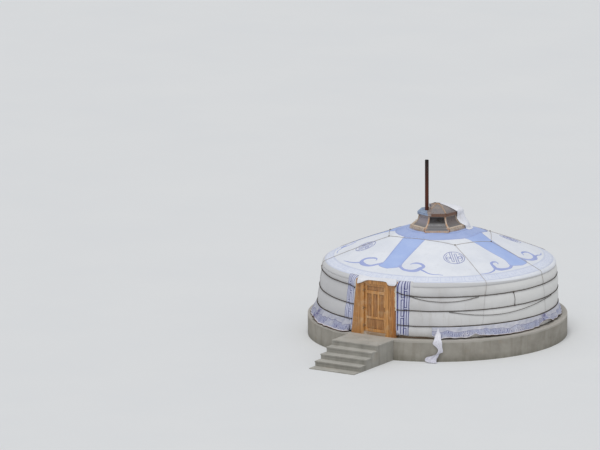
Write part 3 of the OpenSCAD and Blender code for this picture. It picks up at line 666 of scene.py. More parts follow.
def woodFinish(name, light, dark, worn, grain=(30.0, 30.0, 1.6), gloss=0.35, wear=0.3, coat=0.0, foot=None,
               rim=None, bay=None, aside=None):
    # sawn wood: long grain lines stretched along one axis, slow bands across, worn patches and dirt at the
    # foot. Where given it has another colour below a height (rim), in the crown's front bay, or beyond a
    # distance along an azimuth (aside)
    made = startFinish(name, Roughness=gloss, Coat_Weight=coat, Coat_Roughness=0.25)
    tree = made[1]
    lines = noise(tree, place(tree, scale=grain), 1.0, 8.0, 0.62, 1.2)
    bands = noise(tree, place(tree, scale=tuple(g * 0.22 for g in grain)), 1.0, 3.0, 0.5, 2.0)
    grained = spread(tree, lines, 0.32, 0.68)
    colour = blend(tree, grained, dark, light)
    if aside is not None:
        az, start, full, deep, fair = aside
        colour = blend(tree, beyond(tree, az, start, full), colour, blend(tree, grained, deep, fair))
    colour = over(tree, colour, spread(tree, bands, 0.4, 0.7), 0.45, dark)
    patches = spread(tree, noise(tree, place(tree), 5.0, 6.0, 0.65), 0.5, 0.7)
    colour = over(tree, colour, patches, wear, worn)
    if foot is not None:
        low, top, amount, dirt = foot
        level = spread(tree, heightOf(tree), low, top, (1.0, 0.0))
        colour = over(tree, colour, times(tree, level, patches), amount, dirt)
    if rim is not None:
        edge, amount, other = rim
        below = spread(tree, heightOf(tree), edge - 0.01, edge + 0.01, (amount, 0.0))
        colour = blend(tree, below, colour, other)
    if bay is not None:
        colour = bayWood(tree, colour, grained, bay)
    rough = spread(tree, lines, 0.3, 0.7, (gloss + 0.12, gloss - 0.05))
    return finished(made, colour, lines, 0.35, 0.004, rough)


def concreteFinish(name, dull, pale, stain, foot, reach=0.20, arris=None):
    # cast concrete: cloudy greys, sand grain, air holes, runs of dirt and faint rust down the faces, a darker
    # foot on upright faces up to the height reach, partly dirt and partly painted shade, and where given a
    # paler upper edge
    made = startFinish(name, Roughness=0.9, IOR=1.45)
    tree = made[1]
    where = place(tree)
    clouds = noise(tree, where, 1.6, 6.0, 0.6, 0.4)
    sand = noise(tree, where, 90.0, 4.0, 0.7)
    runs = noise(tree, place(tree, scale=(5.0, 5.0, 0.5)), 1.0, 6.0, 0.65, 0.3)
    rust = noise(tree, place(tree, scale=(1.2, 1.2, 2.4)), 1.0, 5.0, 0.6)
    colour = blend(tree, spread(tree, clouds, 0.3, 0.7), dull, pale)
    colour = over(tree, colour, spread(tree, runs, 0.52, 0.75), 0.4, stain)
    colour = over(tree, colour, spread(tree, rust, 0.58, 0.75), 0.3, (168, 138, 104))
    # darker foot on upright faces near the ground: partly dirt, partly painted shade
    upward = put(tree, "SeparateXYZ", {0: put(tree, "NewGeometry", {}).outputs["True Normal"]}).outputs[2]
    upright = maths(tree, "SUBTRACT", 1.0, spread(tree, upward, 0.6, 0.9))
    level = spread(tree, heightOf(tree), 0.0, reach, (1.0, 0.0))
    low = times(tree, times(tree, level, upright), spread(tree, runs, 0.3, 0.6, (0.3, 1.0)))
    colour = over(tree, colour, low, 0.5, foot)
    colour = over(tree, colour, spread(tree, sand, 0.62, 0.72), 0.3, foot)
    if arris is not None:
        start, paler = arris
        edge = maths(tree, "ADD", heightOf(tree), spread(tree, clouds, 0.3, 0.7, (-0.012, 0.012)))
        colour = blend(tree, spread(tree, edge, start, start + 0.012, (0.0, 0.8)), colour, paler)
    holes = put(tree, "TexVoronoi", {"Vector": where, "Scale": 38.0}).outputs["Distance"]
    pits = times(tree, spread(tree, holes, 0.0, 0.22), 0.2)
    relief = maths(tree, "ADD", times(tree, sand, 0.35), maths(tree, "ADD", times(tree, clouds, 1.2), pits))
    return finished(made, colour, relief, 0.5, 0.012)


def ironFinish(name, base, rust, dust, split=None, roughness=0.55, metal=0.5, aside=None):
    # old iron: dark skin, rust in patches, or by height where two heights are given (split), dust, and where
    # given another colour beyond a distance along an azimuth (aside)
    made = startFinish(name, Roughness=roughness, Metallic=metal)
    tree = made[1]
    where = place(tree)
    patch = noise(tree, where, 9.0, 8.0, 0.65, 0.5)
    fine = noise(tree, where, 70.0, 5.0, 0.7)
    share = spread(tree, patch, 0.42, 0.6)
    if split is not None:
        share = times(tree, spread(tree, patch, 0.25, 0.55, (0.55, 1.0)),
                      spread(tree, heightOf(tree), *split, (1.0, 0.0)))
    colour = over(tree, blend(tree, share, base, rust), spread(tree, fine, 0.5, 0.7), 0.4, dust)
    if aside is not None:
        az, start, full, dull, fair = aside
        edge = maths(tree, "ADD", beyond(tree, az, start, full), spread(tree, patch, 0.3, 0.7, (-0.3, 0.3)))
        colour = blend(tree, spread(tree, edge, 0.3, 0.7), colour, blend(tree, share, dull, fair))
    rough = spread(tree, patch, 0.3, 0.7, (roughness - 0.1, roughness + 0.25))
    return finished(made, colour, maths(tree, "ADD", fine, patch), 0.3, 0.003, rough)


def glazingFinish(name, upperPaneColour, dusty, low, high, rim, paintedDarkSide=None, sides=()):
    # dusty panes: milky, with dirt gathered along the lower edge. Where a side is given, only the panes
    # towards that azimuth take the upper colour in their upper part; on the side panes that colour is dark,
    # as painted shade for the dark inside and the shadow under the cap. Where sides are given the lower
    # colour changes to another beyond a distance along an azimuth
    made = startFinish(name, Roughness=0.28, IOR=1.45, Transmission_Weight=0.25)
    tree = made[1]
    film = noise(tree, place(tree), 7.0, 6.0, 0.6, 0.6)
    level = spread(tree, heightOf(tree), low, high)
    cover = 0.7
    for az, start, full, other in sides:
        dusty = blend(tree, beyond(tree, az, start, full), dusty, other)
    # painted shade: only the front panes' upper part takes the dark upper colour
    if paintedDarkSide is not None:
        level = times(tree, level, facing(tree, paintedDarkSide["az"], *paintedDarkSide["paintedDarkTurns"]))
        cover = 0.25
    colour = over(tree, blend(tree, level, dusty, upperPaneColour), spread(tree, film, 0.42, 0.62), cover, dusty)
    colour = blend(tree, spread(tree, heightOf(tree), low - 0.02, low + 0.09, (0.85, 0.0)), colour, rim)
    return finished(made, colour, film, 0.1, 0.01, spread(tree, film, 0.3, 0.7, (0.2, 0.55)))


def ropeFinish(name, dark, fair, dusty):
    # twisted fibre: threads drawn out along the rope by its map, and dust in patches
    made = startFinish(name, Roughness=0.9)
    tree = made[1]
    threads = noise(tree, place(tree, True, (70.0, 9.0, 1)), 1.0, 4.0, 0.6)
    colour = blend(tree, spread(tree, threads, 0.3, 0.7), dark, fair)
    colour = over(tree, colour, spread(tree, noise(tree, place(tree), 6.0, 4.0), 0.55, 0.75), 0.5, dusty)
    return finished(made, colour, threads, 0.5, 0.003)


# The crown's front bay: how far round it reaches is given as cosines of the angle from its middle, and
# heights count from the ground, as in all finishes
frontBay = {
    "az": 29.7,
    "edge": 0.885,
    "top": 3.60,
    "dark": (186, 134, 98),
    "light": (230, 196, 160),
    "blotch": (202, 182, 166),
    "blotched": 0.85,
    "corner": (150, 78, 36),
    "cornerTurns": (0.932, 0.912),
    "cornerHeights": (3.25, 3.18),
    "gap": (140, 138, 140),
    "gapTurns": (0.925, 0.935),
    "gapHeights": (3.198, 3.206),
    # where the front panes are painted dark in their upper part, as painted shade
    "paintedDarkTurns": (0.895, 0.912),
}
# Painted shade: the grey of the roof cloth below a height, where it turns down over the eave, which falls off
# towards one azimuth
eaveShade = {
    "height": 2.200,
    "fade": 0.13,
    "az": 110.0,
    "fall": 0.10,
    "upper": (204, 204, 205),
    "lower": (212, 211, 211),
}
doorFoot = (0.6, 0.95, 0.6, (160, 146, 126))   # two heights, how much, and the colour of the dirt there
dyes = {   # main, deeper and thin colour of each printed cloth
    "ringBlue": ((178, 193, 232), (160, 177, 222), (192, 205, 236)),
    "bandBlue": ((178, 197, 240), (164, 185, 234), (194, 209, 244)),
    "scrollBlue": ((174, 184, 228), (160, 172, 220), (190, 198, 236)),
    "hemBlue": ((229, 233, 244), (221, 226, 241), (236, 239, 246)),
    "hemKey": ((217, 222, 240), (209, 215, 236), (224, 229, 243)),
    "knotBlue": ((160, 166, 204), (146, 152, 196), (176, 182, 214)),
    "keyBlue": ((84, 86, 142), (64, 66, 124), (110, 112, 162)),
    "keyFaded": ((122, 126, 168), (98, 102, 150), (156, 160, 192)),
    "bandWhite": ((214, 216, 232), (196, 199, 220), (224, 225, 236)),
}
finishes = {
    # the steps' darker foot reaches 0.75 m, over the landing's whole side, as painted shade
    "concrete": concreteFinish("stepConcrete", (164, 161, 153), (188, 185, 177), (132, 126, 114),
                               (114, 111, 101), reach=0.75),
    "drumConcrete": concreteFinish("drumConcrete", (144, 139, 129), (173, 168, 158), (118, 109, 94),
                                   (92, 92, 78), arris=(0.545, (184, 179, 170))),
    "varnish": woodFinish("varnishedPine", (230, 168, 96), (140, 88, 40), (214, 184, 142), wear=0.4,
                          coat=0.2, foot=doorFoot, aside=(90.0, 0.46, 0.60, (128, 74, 30), (208, 140, 70))),
    "threshold": woodFinish("wornThreshold", (202, 178, 150), (140, 110, 84), (208, 198, 186), wear=0.8,
                            grain=(1.6, 30.0, 30.0)),
    # paler than the boarding, partly as painted light on the jambs' shaded inner faces
    "rail": woodFinish("palerRails", (232, 172, 100), (176, 118, 60), (220, 196, 160), wear=0.5,
                       coat=0.2, foot=doorFoot),
    "panel": woodFinish("panelPine", (210, 152, 92), (134, 86, 42), (198, 168, 124), wear=0.4, coat=0.2,
                        foot=(0.6, 0.9, 0.6, (150, 136, 116))),
    "iron": ironFinish("doorIron", (170, 134, 96), (136, 98, 66), (184, 154, 120), metal=0.2),
    "frameWood": woodFinish("stainedWillow", (176, 98, 56), (116, 54, 30), (170, 120, 84), wear=0.2),
    "crownWood": woodFinish("weatheredLarch", (226, 212, 194), (178, 156, 134), (214, 202, 192),
                            grain=(14.0, 14.0, 5.0), gloss=0.7, wear=0.6, bay=frontBay),
    "domeWood": woodFinish("greyedLarch", (204, 176, 148), (150, 122, 102), (194, 182, 172),
                           grain=(14.0, 14.0, 5.0), gloss=0.7, wear=0.6, rim=(3.635, 0.85, (112, 78, 62))),
    # the first colour is painted shade: the dark inside and the shadow under the cap, in the front panes
    "sideGlass": glazingFinish("dustyPanes", (44, 34, 27), (118, 119, 126), 3.28, 3.36,
                               (136, 132, 130), paintedDarkSide=frontBay,
                               sides=[(302.0, 0.22, 0.30, (170, 162, 168)),
                                      (118.0, 0.24, 0.32, (134, 122, 118))]),
    "capGlass": glazingFinish("capPanes", (190, 172, 156), (138, 136, 142), 3.60, 3.86,
                              (150, 128, 112)),
    "patch": ironFinish("patchSheet", (152, 170, 196), (124, 138, 160), (182, 196, 214), metal=0.0,
                        roughness=0.6, aside=(122.0, -0.34, -0.26, (172, 156, 146), (132, 122, 122))),
    "pipe": ironFinish("rustyPipe", (34, 29, 26), (98, 48, 30), (62, 40, 30), split=(4.1, 5.1),
                       roughness=0.7, metal=0.2),
    # sides: painted light towards azimuth 104 and painted shade towards 318
    "wallCanvas": canvasFinish("wallCloth", (219, 218, 218), (203, 201, 200), (174, 167, 153),
                               low=(0.6, 0.84, 0.6), sides=[(104.0, 0.35, 0.95, (236, 235, 232)),
                                                            (318.0, 0.45, 0.95, (198, 197, 198))]),
    "roofCanvas": canvasFinish("roofCloth", (238, 240, 245), (227, 230, 238), (212, 210, 212),
                               eave=eaveShade),
    "looseCanvas": canvasFinish("looseCloth", (240, 240, 244), (226, 227, 234), (190, 186, 180),
                                low=(0.0, 0.5, 0.8)),
    # the low lavender-grey colour is dirt near the ground and painted shade on the strip's lower, twisted
    # part
    "tornCloth": canvasFinish("tornCloth", (238, 236, 242), (214, 214, 226), (192, 190, 204),
                              low=(0.1, 0.5, 0.8)),
    "felt": canvasFinish("brownFelt", (138, 118, 98), (106, 88, 72), (84, 70, 58), weave=0.2),
    "cream": canvasFinish("creamEdge", (240, 230, 206), (226, 214, 190), (190, 176, 150), weave=0.4),
    "rope": ropeFinish("darkRope", (52, 46, 42), (92, 80, 70), (116, 102, 88)),
    "knotRope": ropeFinish("roofKnots", (118, 112, 108), (150, 144, 138), (168, 162, 154)),
    "paleRope": ropeFinish("paleRope", (186, 181, 177), (210, 205, 201), (218, 214, 210)),
    "seam": ropeFinish("seamLines", (176, 174, 172), (192, 190, 188), (204, 201, 198)),
}
for dye, colours in dyes.items():
    finishes[dye] = printFinish(dye, *colours)

nodeFinish = {
    "drumConcrete": ["plinth_drum"],
    "concrete": ["landing_block", "stair_step_upper", "stair_step_middle", "stair_step_lower",
                 "stair_foot_pad"],
    "varnish": ["door_head", "door_side_boards"],
    "rail": ["door_jambs", "door_leaf_frame"],
    "threshold": ["door_threshold"],
    "panel": ["door_leaf_panels"],
    "iron": ["door_frame_hinges", "door_leaf_hinges", "door_handle"],
    "frameWood": ["lattice_wall_1", "lattice_wall_2", "lattice_wall_3", "lattice_wall_4", "roof_poles_right",
                  "roof_poles_left", "crown_ring", "crown_posts"],
    "crownWood": ["crown_curb", "crown_struts"],
    "domeWood": ["crown_cap_frame"],
    "sideGlass": ["crown_panes"],
    "capGlass": ["crown_cap_panes"],
    "patch": ["chimney_patch"],
    "pipe": ["chimney_pipe"],
}
for finishName, names in nodeFinish.items():
    for nodeName in names:
        mesh = cadNodes[nodeName].data
        mesh.materials.clear()
        mesh.materials.append(finishes[finishName])
print("finishes made")


# wall canvas
wallCloth = {
    "thickness": 0.014,
    "columns": 560,
    "rows": 44,
    "hem": 0.026,
    "hitch": (28.0, 1.2, 0.045),                       # azimuth, reach and rise of the hem beside the door
    "torn": [(11.3, 1.3, 0.25), (347.4, 1.0, 0.24)],   # the same at the feet of the door's boards
    "browTurn": 19.8,    # turns from the door within which the cloth goes on over the eave
    "browFade": 1.4,
    "browRun": 0.134,
}


def clothEnds(height):
    # azimuths at which the cloth meets the front edges of the door's boarding
    right = np.degrees(np.arctan2(boardHalf("boardRight", height) + yurt["boardGap"], yurt["clothFront"]))
    left = 360 - np.degrees(np.arctan2(boardHalf("boardLeft", height) + yurt["boardGap"], yurt["clothFront"]))
    return right, left


def wallHem(az):
    # height of the cloth's lower edge: hitched up beside the door on the right by an S curve, and torn to a
    # point at both board feet by an exponential on each side of it
    start, reach, rise = wallCloth["hitch"]
    hitched = rise / (1 + np.exp((az - start) / reach))
    torn = sum(rise * np.exp(-np.abs(az - foot) / reach) for foot, reach, rise in wallCloth["torn"])
    return wallCloth["hem"] + hitched + torn + 0.006 * ripple(az, 24, 12, 40)


def makeWall(cloth):
    # one sheet round the lattice from board to board; beside the door it turns over the eave onto the roof
    share = np.linspace(0, 1, cloth["columns"])[:, None]
    tall = 1 - np.concatenate([np.linspace(0, 0.012, 6), np.linspace(0.02, 1, cloth["rows"])])[None, :]
    right, left = clothEnds(wallTop * tall)
    az = right + (left - right) * share
    beside = np.clip((cloth["browTurn"] - np.abs(fromDoor(az))) / cloth["browFade"], 0, 1)
    low = wallHem(az)
    height = low + (wallTop + cloth["browRun"] * beside - low) * tall

    def lay(lift):
        # the plain wall, and beside the door by degrees the face that turns over the eave
        turned = sidePoint(az, height, lift) * beside[..., None]
        return wallPoint(az, height, lift) * (1 - beside)[..., None] + turned

    uv = np.stack([np.radians(az) * yurt["meanRadius"], height], -1)
    rings = np.concatenate([lay(0.0), lay(-cloth["thickness"])[:, ::-1]], 1)
    piece = makePiece("wall_canvas", [loft(rings, np.concatenate([uv, uv[:, ::-1]], 1), caps="strip")],
                      finishes["wallCanvas"])
    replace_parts(piece, "wall_cover_1", "wall_cover_2", "wall_cover_3", "wall_cover_4")
    return piece


feltStrip = {
    "turns": (12.2, 346.4),
    # radius and height of its section
    "section": [(3.482, 0.004), (3.484, 0.05), (3.470, 0.16), (3.456, 0.16), (3.468, 0.05), (3.464, 0.004)],
}


def makeFelt(felt):
    # a strip of the felt under the cloth, seen below the hitched hem: its section turned round the axis, with
    # small waves in the radius
    az = np.linspace(*felt["turns"], 300)
    wave = 0.004 * ripple(az, 25, 8, 60)
    rings = np.stack([around(r + wave, az, z + 0 * az) for r, z in felt["section"]], 1)
    piece = makePiece("felt_foot", [loft(rings)], finishes["felt"])


wallCanvas = makeWall(wallCloth)
makeFelt(feltStrip)
print("wall cloth made")

# roof canvas
roofCloth = {"thickness": 0.016, "columns": 540, "rows": 56, "innerRows": 18}


def makeRoof(cloth):
    # the cover's outer face from crown to hem and its inner face back again, as one skin round the axis
    az = np.linspace(0, 360, cloth["columns"], endpoint=False)[:, None]
    share = np.linspace(0, 1, cloth["rows"])[None, :]
    along = hemAlong * (share + 0.06 * np.sin(np.pi * share) * share)
    back = hemAlong * np.linspace(1, 0, cloth["innerRows"])[None, :]
    outer = roofPoint(az, along, 0.0)
    inner = roofPoint(az, back, -cloth["thickness"])
    uvOut = np.stack(np.broadcast_arrays(np.radians(az) * 2.2, along), -1)
    uvIn = np.stack(np.broadcast_arrays(np.radians(az) * 2.2, back), -1)
    part = loft(np.concatenate([outer, inner], 1), np.concatenate([uvOut, uvIn], 1), closedPath=True)
    piece = makePiece("roof_canvas", [part], finishes["roofCanvas"])
    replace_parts(piece, "roof_cover_1", "roof_cover_2", "roof_cover_3", "roof_cover_4")
    return piece


roofCanvas = makeRoof(roofCloth)
print("roof cloth made")

# ornament on the roof, drawn flat: (across, down from the cone's tip) in metres
ornament = {
    "ring": (0.862, 1.215),
    "ringStretched": (152.0, 26.0, 0.40),   # azimuth, half width, and how much wider the ring is there
    "bandLift": 0.0022,
    "scrollLift": 0.0034,
    "bands": [
        {"axis": 0.0,
         "left": [(-0.44, 1.20), (-0.39, 1.70), (-0.345, 2.26), (-0.32, 2.60), (-0.34, 2.72), (-0.40, 2.80),
                  (-0.28, 2.89), (-0.04, 2.945)],
         "right": [(0.29, 1.20), (0.287, 1.71), (0.283, 2.21), (0.283, 2.50), (0.289, 2.64), (0.31, 2.77),
                   (0.167, 2.862), (-0.04, 2.945)],
         "scrolls": [
             [(-0.33, 2.70), (-0.375, 2.737), (-0.49, 2.793), (-0.658, 2.866), (-0.862, 2.831),
              (-1.056, 2.706), (-1.092, 2.579), (-0.991, 2.479), (-0.789, 2.463), (-0.648, 2.50),
              (-0.622, 2.589)],
             [(0.245, 2.743), (0.338, 2.80), (0.482, 2.877), (0.681, 2.871), (0.839, 2.792), (0.896, 2.668),
              (0.951, 2.562), (0.865, 2.475), (0.729, 2.457), (0.621, 2.489), (0.532, 2.582)]],
         "tails": [
             [(-1.017, 2.663), (-1.069, 2.685), (-1.231, 2.704), (-1.473, 2.662), (-1.811, 2.516)],
             [(0.877, 2.704), (0.974, 2.717), (1.09, 2.747), (1.235, 2.781), (1.399, 2.76), (1.518, 2.704),
              (1.646, 2.665)]]},
        {"axis": 90.0,
         "left": [(-0.42, 1.22), (-0.36, 1.40), (-0.37, 1.70), (-0.40, 1.99), (-0.41, 2.30), (-0.40, 2.62),
                  (-0.44, 2.76), (-0.52, 2.93), (-0.43, 2.985), (-0.28, 3.04), (-0.14, 3.088)],
         "right": [(0.60, 1.21), (0.49, 1.38), (0.373, 1.66), (0.263, 2.04), (0.185, 2.40),
                   (0.204, 2.70), (0.24, 2.955), (0.083, 3.066), (-0.14, 3.088)],
         "scrolls": [
             [(-0.49, 2.95), (-0.672, 2.999), (-0.933, 2.92), (-1.045, 2.804), (-1.013, 2.685),
              (-0.946, 2.559), (-0.824, 2.54), (-0.746, 2.599), (-0.783, 2.689)],
             [(0.16, 2.70), (0.203, 2.776), (0.317, 2.905), (0.522, 2.981), (0.751, 2.953), (0.897, 2.818),
              (0.903, 2.635), (0.779, 2.574), (0.59, 2.597), (0.527, 2.704)]],
         "tails": [
             [(-1.0, 2.74), (-1.072, 2.758), (-1.187, 2.821), (-1.39, 2.816), (-1.539, 2.758),
              (-1.694, 2.671)],
             [(0.86, 2.818), (0.905, 2.861), (1.084, 2.824), (1.288, 2.822), (1.531, 2.704)]]},
    ],
    "medallion": {"turn": 44.0, "down": 2.283, "size": 0.30, "stroke": 0.023},
    # radius and height of the collar's lower face; the last two heights are taken from the roof
    "collar": [(0.765, 2.5356), (0.844, 2.5360), (0.858, 2.5425), (0.905, 0.0)],
}


def bandRound(az, line, width, lift):
    # a thin band round the roof: its edges lie half a width above and below a line round the cone
    rings = [roofPoint(az, line + off * width / 2, high)
             for off, high in [(-1, -printSunk), (-0.9, lift), (0.9, lift), (1, -printSunk)]]
    return loft(np.stack(rings, 1), closedPath=True)


def makeRing(drawing):
    # printed cloth between two circles round the crown, closed underneath, with a darker outer edge. In one
    # place the outer circle moves down by a bell curve
    az = np.linspace(0, 360, 360, endpoint=False)[:, None]
    start, end = alongAt(drawing["ring"][0]), alongAt(drawing["ring"][1])
    middle, half, more = drawing["ringStretched"]
    wave = 0.012 * ripple(az, 31, 2, 9) + more * bell(az, middle, half)
    along = start + (end + wave - start) * np.linspace(0, 1, 8)[None, :]
    top = roofPoint(az, along, drawing["bandLift"])
    under = roofPoint(az, along[:, ::-1], -printSunk)
    ring = loft(np.concatenate([top, under], 1), closedPath=True)
    edge = bandRound(az[:, 0], end + wave[:, 0], 0.022, drawing["scrollLift"])
    return [makePiece("ornament_ring", [ring], finishes["ringBlue"]),
            makePiece("ornament_ring_edge", [edge], finishes["scrollBlue"])]


def makeBands(drawing):
    # each band is filled between two drawn edges, with lines along them. Scrolls and tails are lines too: a
    # scroll narrows evenly and swells by a bell curve half way along
    fills, lines = [], []
    for turn in (0.0, 180.0):
        for band in drawing["bands"]:
            axis = band["axis"] + turn

            def lay(across, down, lift, axis=axis):
                # the flat drawing laid on the cone along this band's line
                return onPattern(across, down, axis, lift)

            left, right = smoothLine(band["left"], 120), smoothLine(band["right"], 120)
            fills.append(filled(left, right, lay, drawing["bandLift"]))
            for edge in (left, right):
                lines.append(ribbon(edge[2:], 0.016, lay, drawing["scrollLift"]))
            for scroll in band["scrolls"]:
                line = smoothLine(scroll, 90)
                share = np.linspace(0, 1, 90)
                width = 0.088 - 0.022 * share + 0.062 * bell(share, 0.50, 0.17)
                width = width * np.clip((1 - share) * 9, 0.5, 1)
                lines.append(ribbon(line, width, lay, drawing["scrollLift"]))
            for tail in band["tails"]:
                line = smoothLine(tail, 60)
                lines.append(ribbon(line, 0.064 * np.linspace(1, 0.25, 60), lay, drawing["scrollLift"]))
    return [makePiece("ornament_bands", fills, finishes["bandBlue"]),
            makePiece("ornament_scrolls", lines, finishes["scrollBlue"])]


def circle(x, y, size, count=48):
    # points round a circle, the first one repeated at the end
    a = np.linspace(0, 2 * np.pi, count)
    return np.stack([x + size * np.cos(a), y + size * np.sin(a)], -1)


def makeMedallions(drawing):
    # a round badge: a circle, four upright bars joined in pairs at one end, and on each side a small ring
    # with an arc beyond it
    size = drawing["size"]
    strokes = [circle(0, 0, 1.0)]
    bend = np.radians(np.linspace(-48, 48, 18))
    for side in (-1, 1):
        strokes.append(circle(side * 0.56, 0.0, 0.17, 20))
        strokes.append(np.stack([side * 0.81 * np.cos(bend), 0.81 * np.sin(bend)], -1))
        bars = [(side * 0.11, side * 0.96), (side * 0.11, -side * 0.66), (side * 0.31, -side * 0.66),
                (side * 0.31, side * 0.90)]
        strokes.append(evenLine(bars, 30))
    parts = []
    for axis in (0.0, 90.0, 180.0, 270.0):

        def lay(across, down, lift, axis=axis):
            # the flat drawing laid on the cone between two bands
            return onPattern(across, down, axis + drawing["turn"], lift)

        for stroke in strokes:
            line = stroke * size + np.array([0.0, drawing["down"]])
            parts.append(ribbon(line, drawing["stroke"], lay, 0.003))
    return [makePiece("ornament_medallions", parts, finishes["knotBlue"])]


hemPattern = {
    "edges": (2.975, 3.245),   # radii of the strip on the cone
    "meanRadius": 3.1,         # turns angles there into lengths
    "keys": 56,
    # one key, as shares of its length and of the strip's height: up, along, in and down again
    "shape": [(0.0, 0.86), (0.0, 0.14), (0.78, 0.14), (0.78, 0.62), (0.38, 0.62), (0.38, 0.40), (0.56, 0.40)],
}


def makeHemPattern(pattern):
    # a strip near the eave with a running key in it, and a thin border along each of its edges
    az = np.linspace(0, 360, 480, endpoint=False)[:, None]
    start, end = alongAt(pattern["edges"][0]), alongAt(pattern["edges"][1])
    tall = end - start
    along = start + tall * np.linspace(0, 1, 5)[None, :]
    top, under = roofPoint(az, along, 0.0016), roofPoint(az, along[:, ::-1], -printSunk)
    strip = loft(np.concatenate([top, under], 1), closedPath=True)
    shape = np.array(pattern["shape"])

    def lay(across, down, lift):
        # lengths along the eave turned into azimuths
        return roofPoint(np.degrees(across / pattern["meanRadius"]), down, lift)

    keyLength = math.radians(360.0 / pattern["keys"]) * pattern["meanRadius"]
    lines = []
    for k in range(pattern["keys"]):
        line = np.stack([(shape[:, 0] + k + 0.06) * keyLength, start + shape[:, 1] * tall], -1)
        lines.append(mitred(line, 0.016, lay, 0.0032, inner=4))
    for middle in (start + 0.04 * tall, end - 0.04 * tall):
        lines.append(bandRound(az[:, 0], middle + 0 * az[:, 0], 0.018, 0.003))
    return [makePiece("hem_strip", [strip], finishes["hemBlue"]),
            makePiece("hem_keys", lines, finishes["hemKey"])]


def makeCollar(drawing):
    # the blue cloth drawn in under the crown's curb, down onto the printed ring
    line = np.array(drawing["collar"])
    line[-1, 1] = roofHeight(line[-1, 0]) + 0.004
    line[-2, 1] = roofHeight(line[-2, 0]) + 0.005
    az = np.linspace(0, 360, 240, endpoint=False)
    section = np.concatenate([line + [0.0, 0.0028], line[::-1]])
    rings = np.stack([around(r, az, z + 0 * az) for r, z in section], 1)
    collar = loft(rings, closedPath=True)
    return [makePiece("crown_collar_cloth", [collar], finishes["ringBlue"])]


roofTrim = makeRing(ornament) + makeBands(ornament) + makeMedallions(ornament["medallion"])
roofTrim += makeHemPattern(hemPattern) + makeCollar(ornament)
print("roof ornament made")

# patterned bands beside the door
doorBands = {
    "right": (11.3, 17.4),
    "left": (-12.0, -19.0),
    "lines": ((0.13, 0.034), (0.95, 0.022)),   # the upright lines: place as a share of the width, and stroke
    "columns": ((0.375, 0.575), (0.61, 0.785)),   # edges of the two rows of boxes, as shares of the width
    "starts": (0.113, -0.170),
    "box": 0.470,
    "repeat": 0.530,
    "stroke": 0.022,
    "head": 1.600,
}


def makeDoorBands(bands):
    # two upright lines with two rows of long boxes between them, the rows half a repeat apart. All are drawn
    # flat, across and up, and start above the cloth's hem
    white, printed = [], []
    high = bands["head"]
    share = np.linspace(0.02, 1, 24)[None, :]
    rows = np.linspace(0, 1, 70)
    for start, end in (bands["right"], bands["left"]):
        blue = []
        wide = math.radians(abs(end - start)) * yurt["meanRadius"]
        az = start + (end - start) * share + 0 * rows[:, None]
        hem = wallHem(az % 360.0) + 0.010
        z = hem + (high - hem) * rows[:, None]
        top, under = sidePoint(az, z, 0.0016), sidePoint(az[:, ::-1], z, -printSunk)
        white.append(loft(np.concatenate([top, under], 1), caps="strip"))

        def lay(across, up, lift, start=start, end=end, wide=wide):
            # lengths across the band turned into azimuths
            return sidePoint(start + (end - start) * across / wide, up, lift)

        for x, stroke in bands["lines"]:
            foot = float(wallHem((start + (end - start) * x) % 360.0)) + 0.016
            line = np.stack([np.full(70, x * wide), foot + (high - foot) * rows], -1)
            blue.append(ribbon(line, stroke, lay, 0.0034))
        for (near, far), first in zip(bands["columns"], bands["starts"]):
            low = float(wallHem((start + (end - start) * near) % 360.0)) + 0.022
            near, far = near * wide, far * wide
            middle = (near + far) / 2
            for k in range(4):
                foot = first + k * bands["repeat"]
                head = foot + bands["box"]
                if foot >= high - 0.06:
                    continue
                if foot < low:
                    corners = [(near, low), (near, head), (far, head), (far, low)]
                elif head > high:
                    corners = [(near, high), (near, foot), (far, foot), (far, high)]
                else:
                    corners = [(middle, head), (far, head), (far, foot), (near, foot), (near, head),
                               (middle, head)]
                blue.append(mitred(corners, bands["stroke"], lay, 0.0032, inner=14))
        printed.append(blue)
    return [makePiece("door_band_cloth", white, finishes["bandWhite"]),
            makePiece("door_band_boxes_right", printed[0], finishes["keyBlue"]),
            makePiece("door_band_boxes_left", printed[1], finishes["keyFaded"])]


edgeStrip = {
    "heights": (0.80, 1.50),
    # its section: to the right of the boarding's edge, and distance before the axis
    "section": [(-0.014, 3.5035), (-0.010, 3.5075), (0.004, 3.5085), (0.012, 3.501), (0.014, 3.486),
                (0.006, 3.486), (0.0045, 3.4985), (-0.011, 3.5012)],
}


def makeEdgeStrip(strip):
    # the cloth's cream edge, folded over the front of the right hand boarding: its section carried up along
    # the boarding's edge, with two sine waves in the ragged side
    z = np.linspace(*strip["heights"], 40)
    edge = boardHalf("boardRight", z)
    ragged = 0.006 * np.sin(31 * z) + 0.004 * np.sin(73 * z)
    rings = [np.stack([edge + x + (ragged if x < 0 else 0), 0 * z - y, yurt["plinthTop"] + z], -1)
             for x, y in strip["section"]]
    return [makePiece("cloth_edge_strip", [loft(np.stack(rings, 1))], finishes["cream"])]


wallTrim = makeDoorBands(doorBands) + makeEdgeStrip(edgeStrip)
print("door bands made")

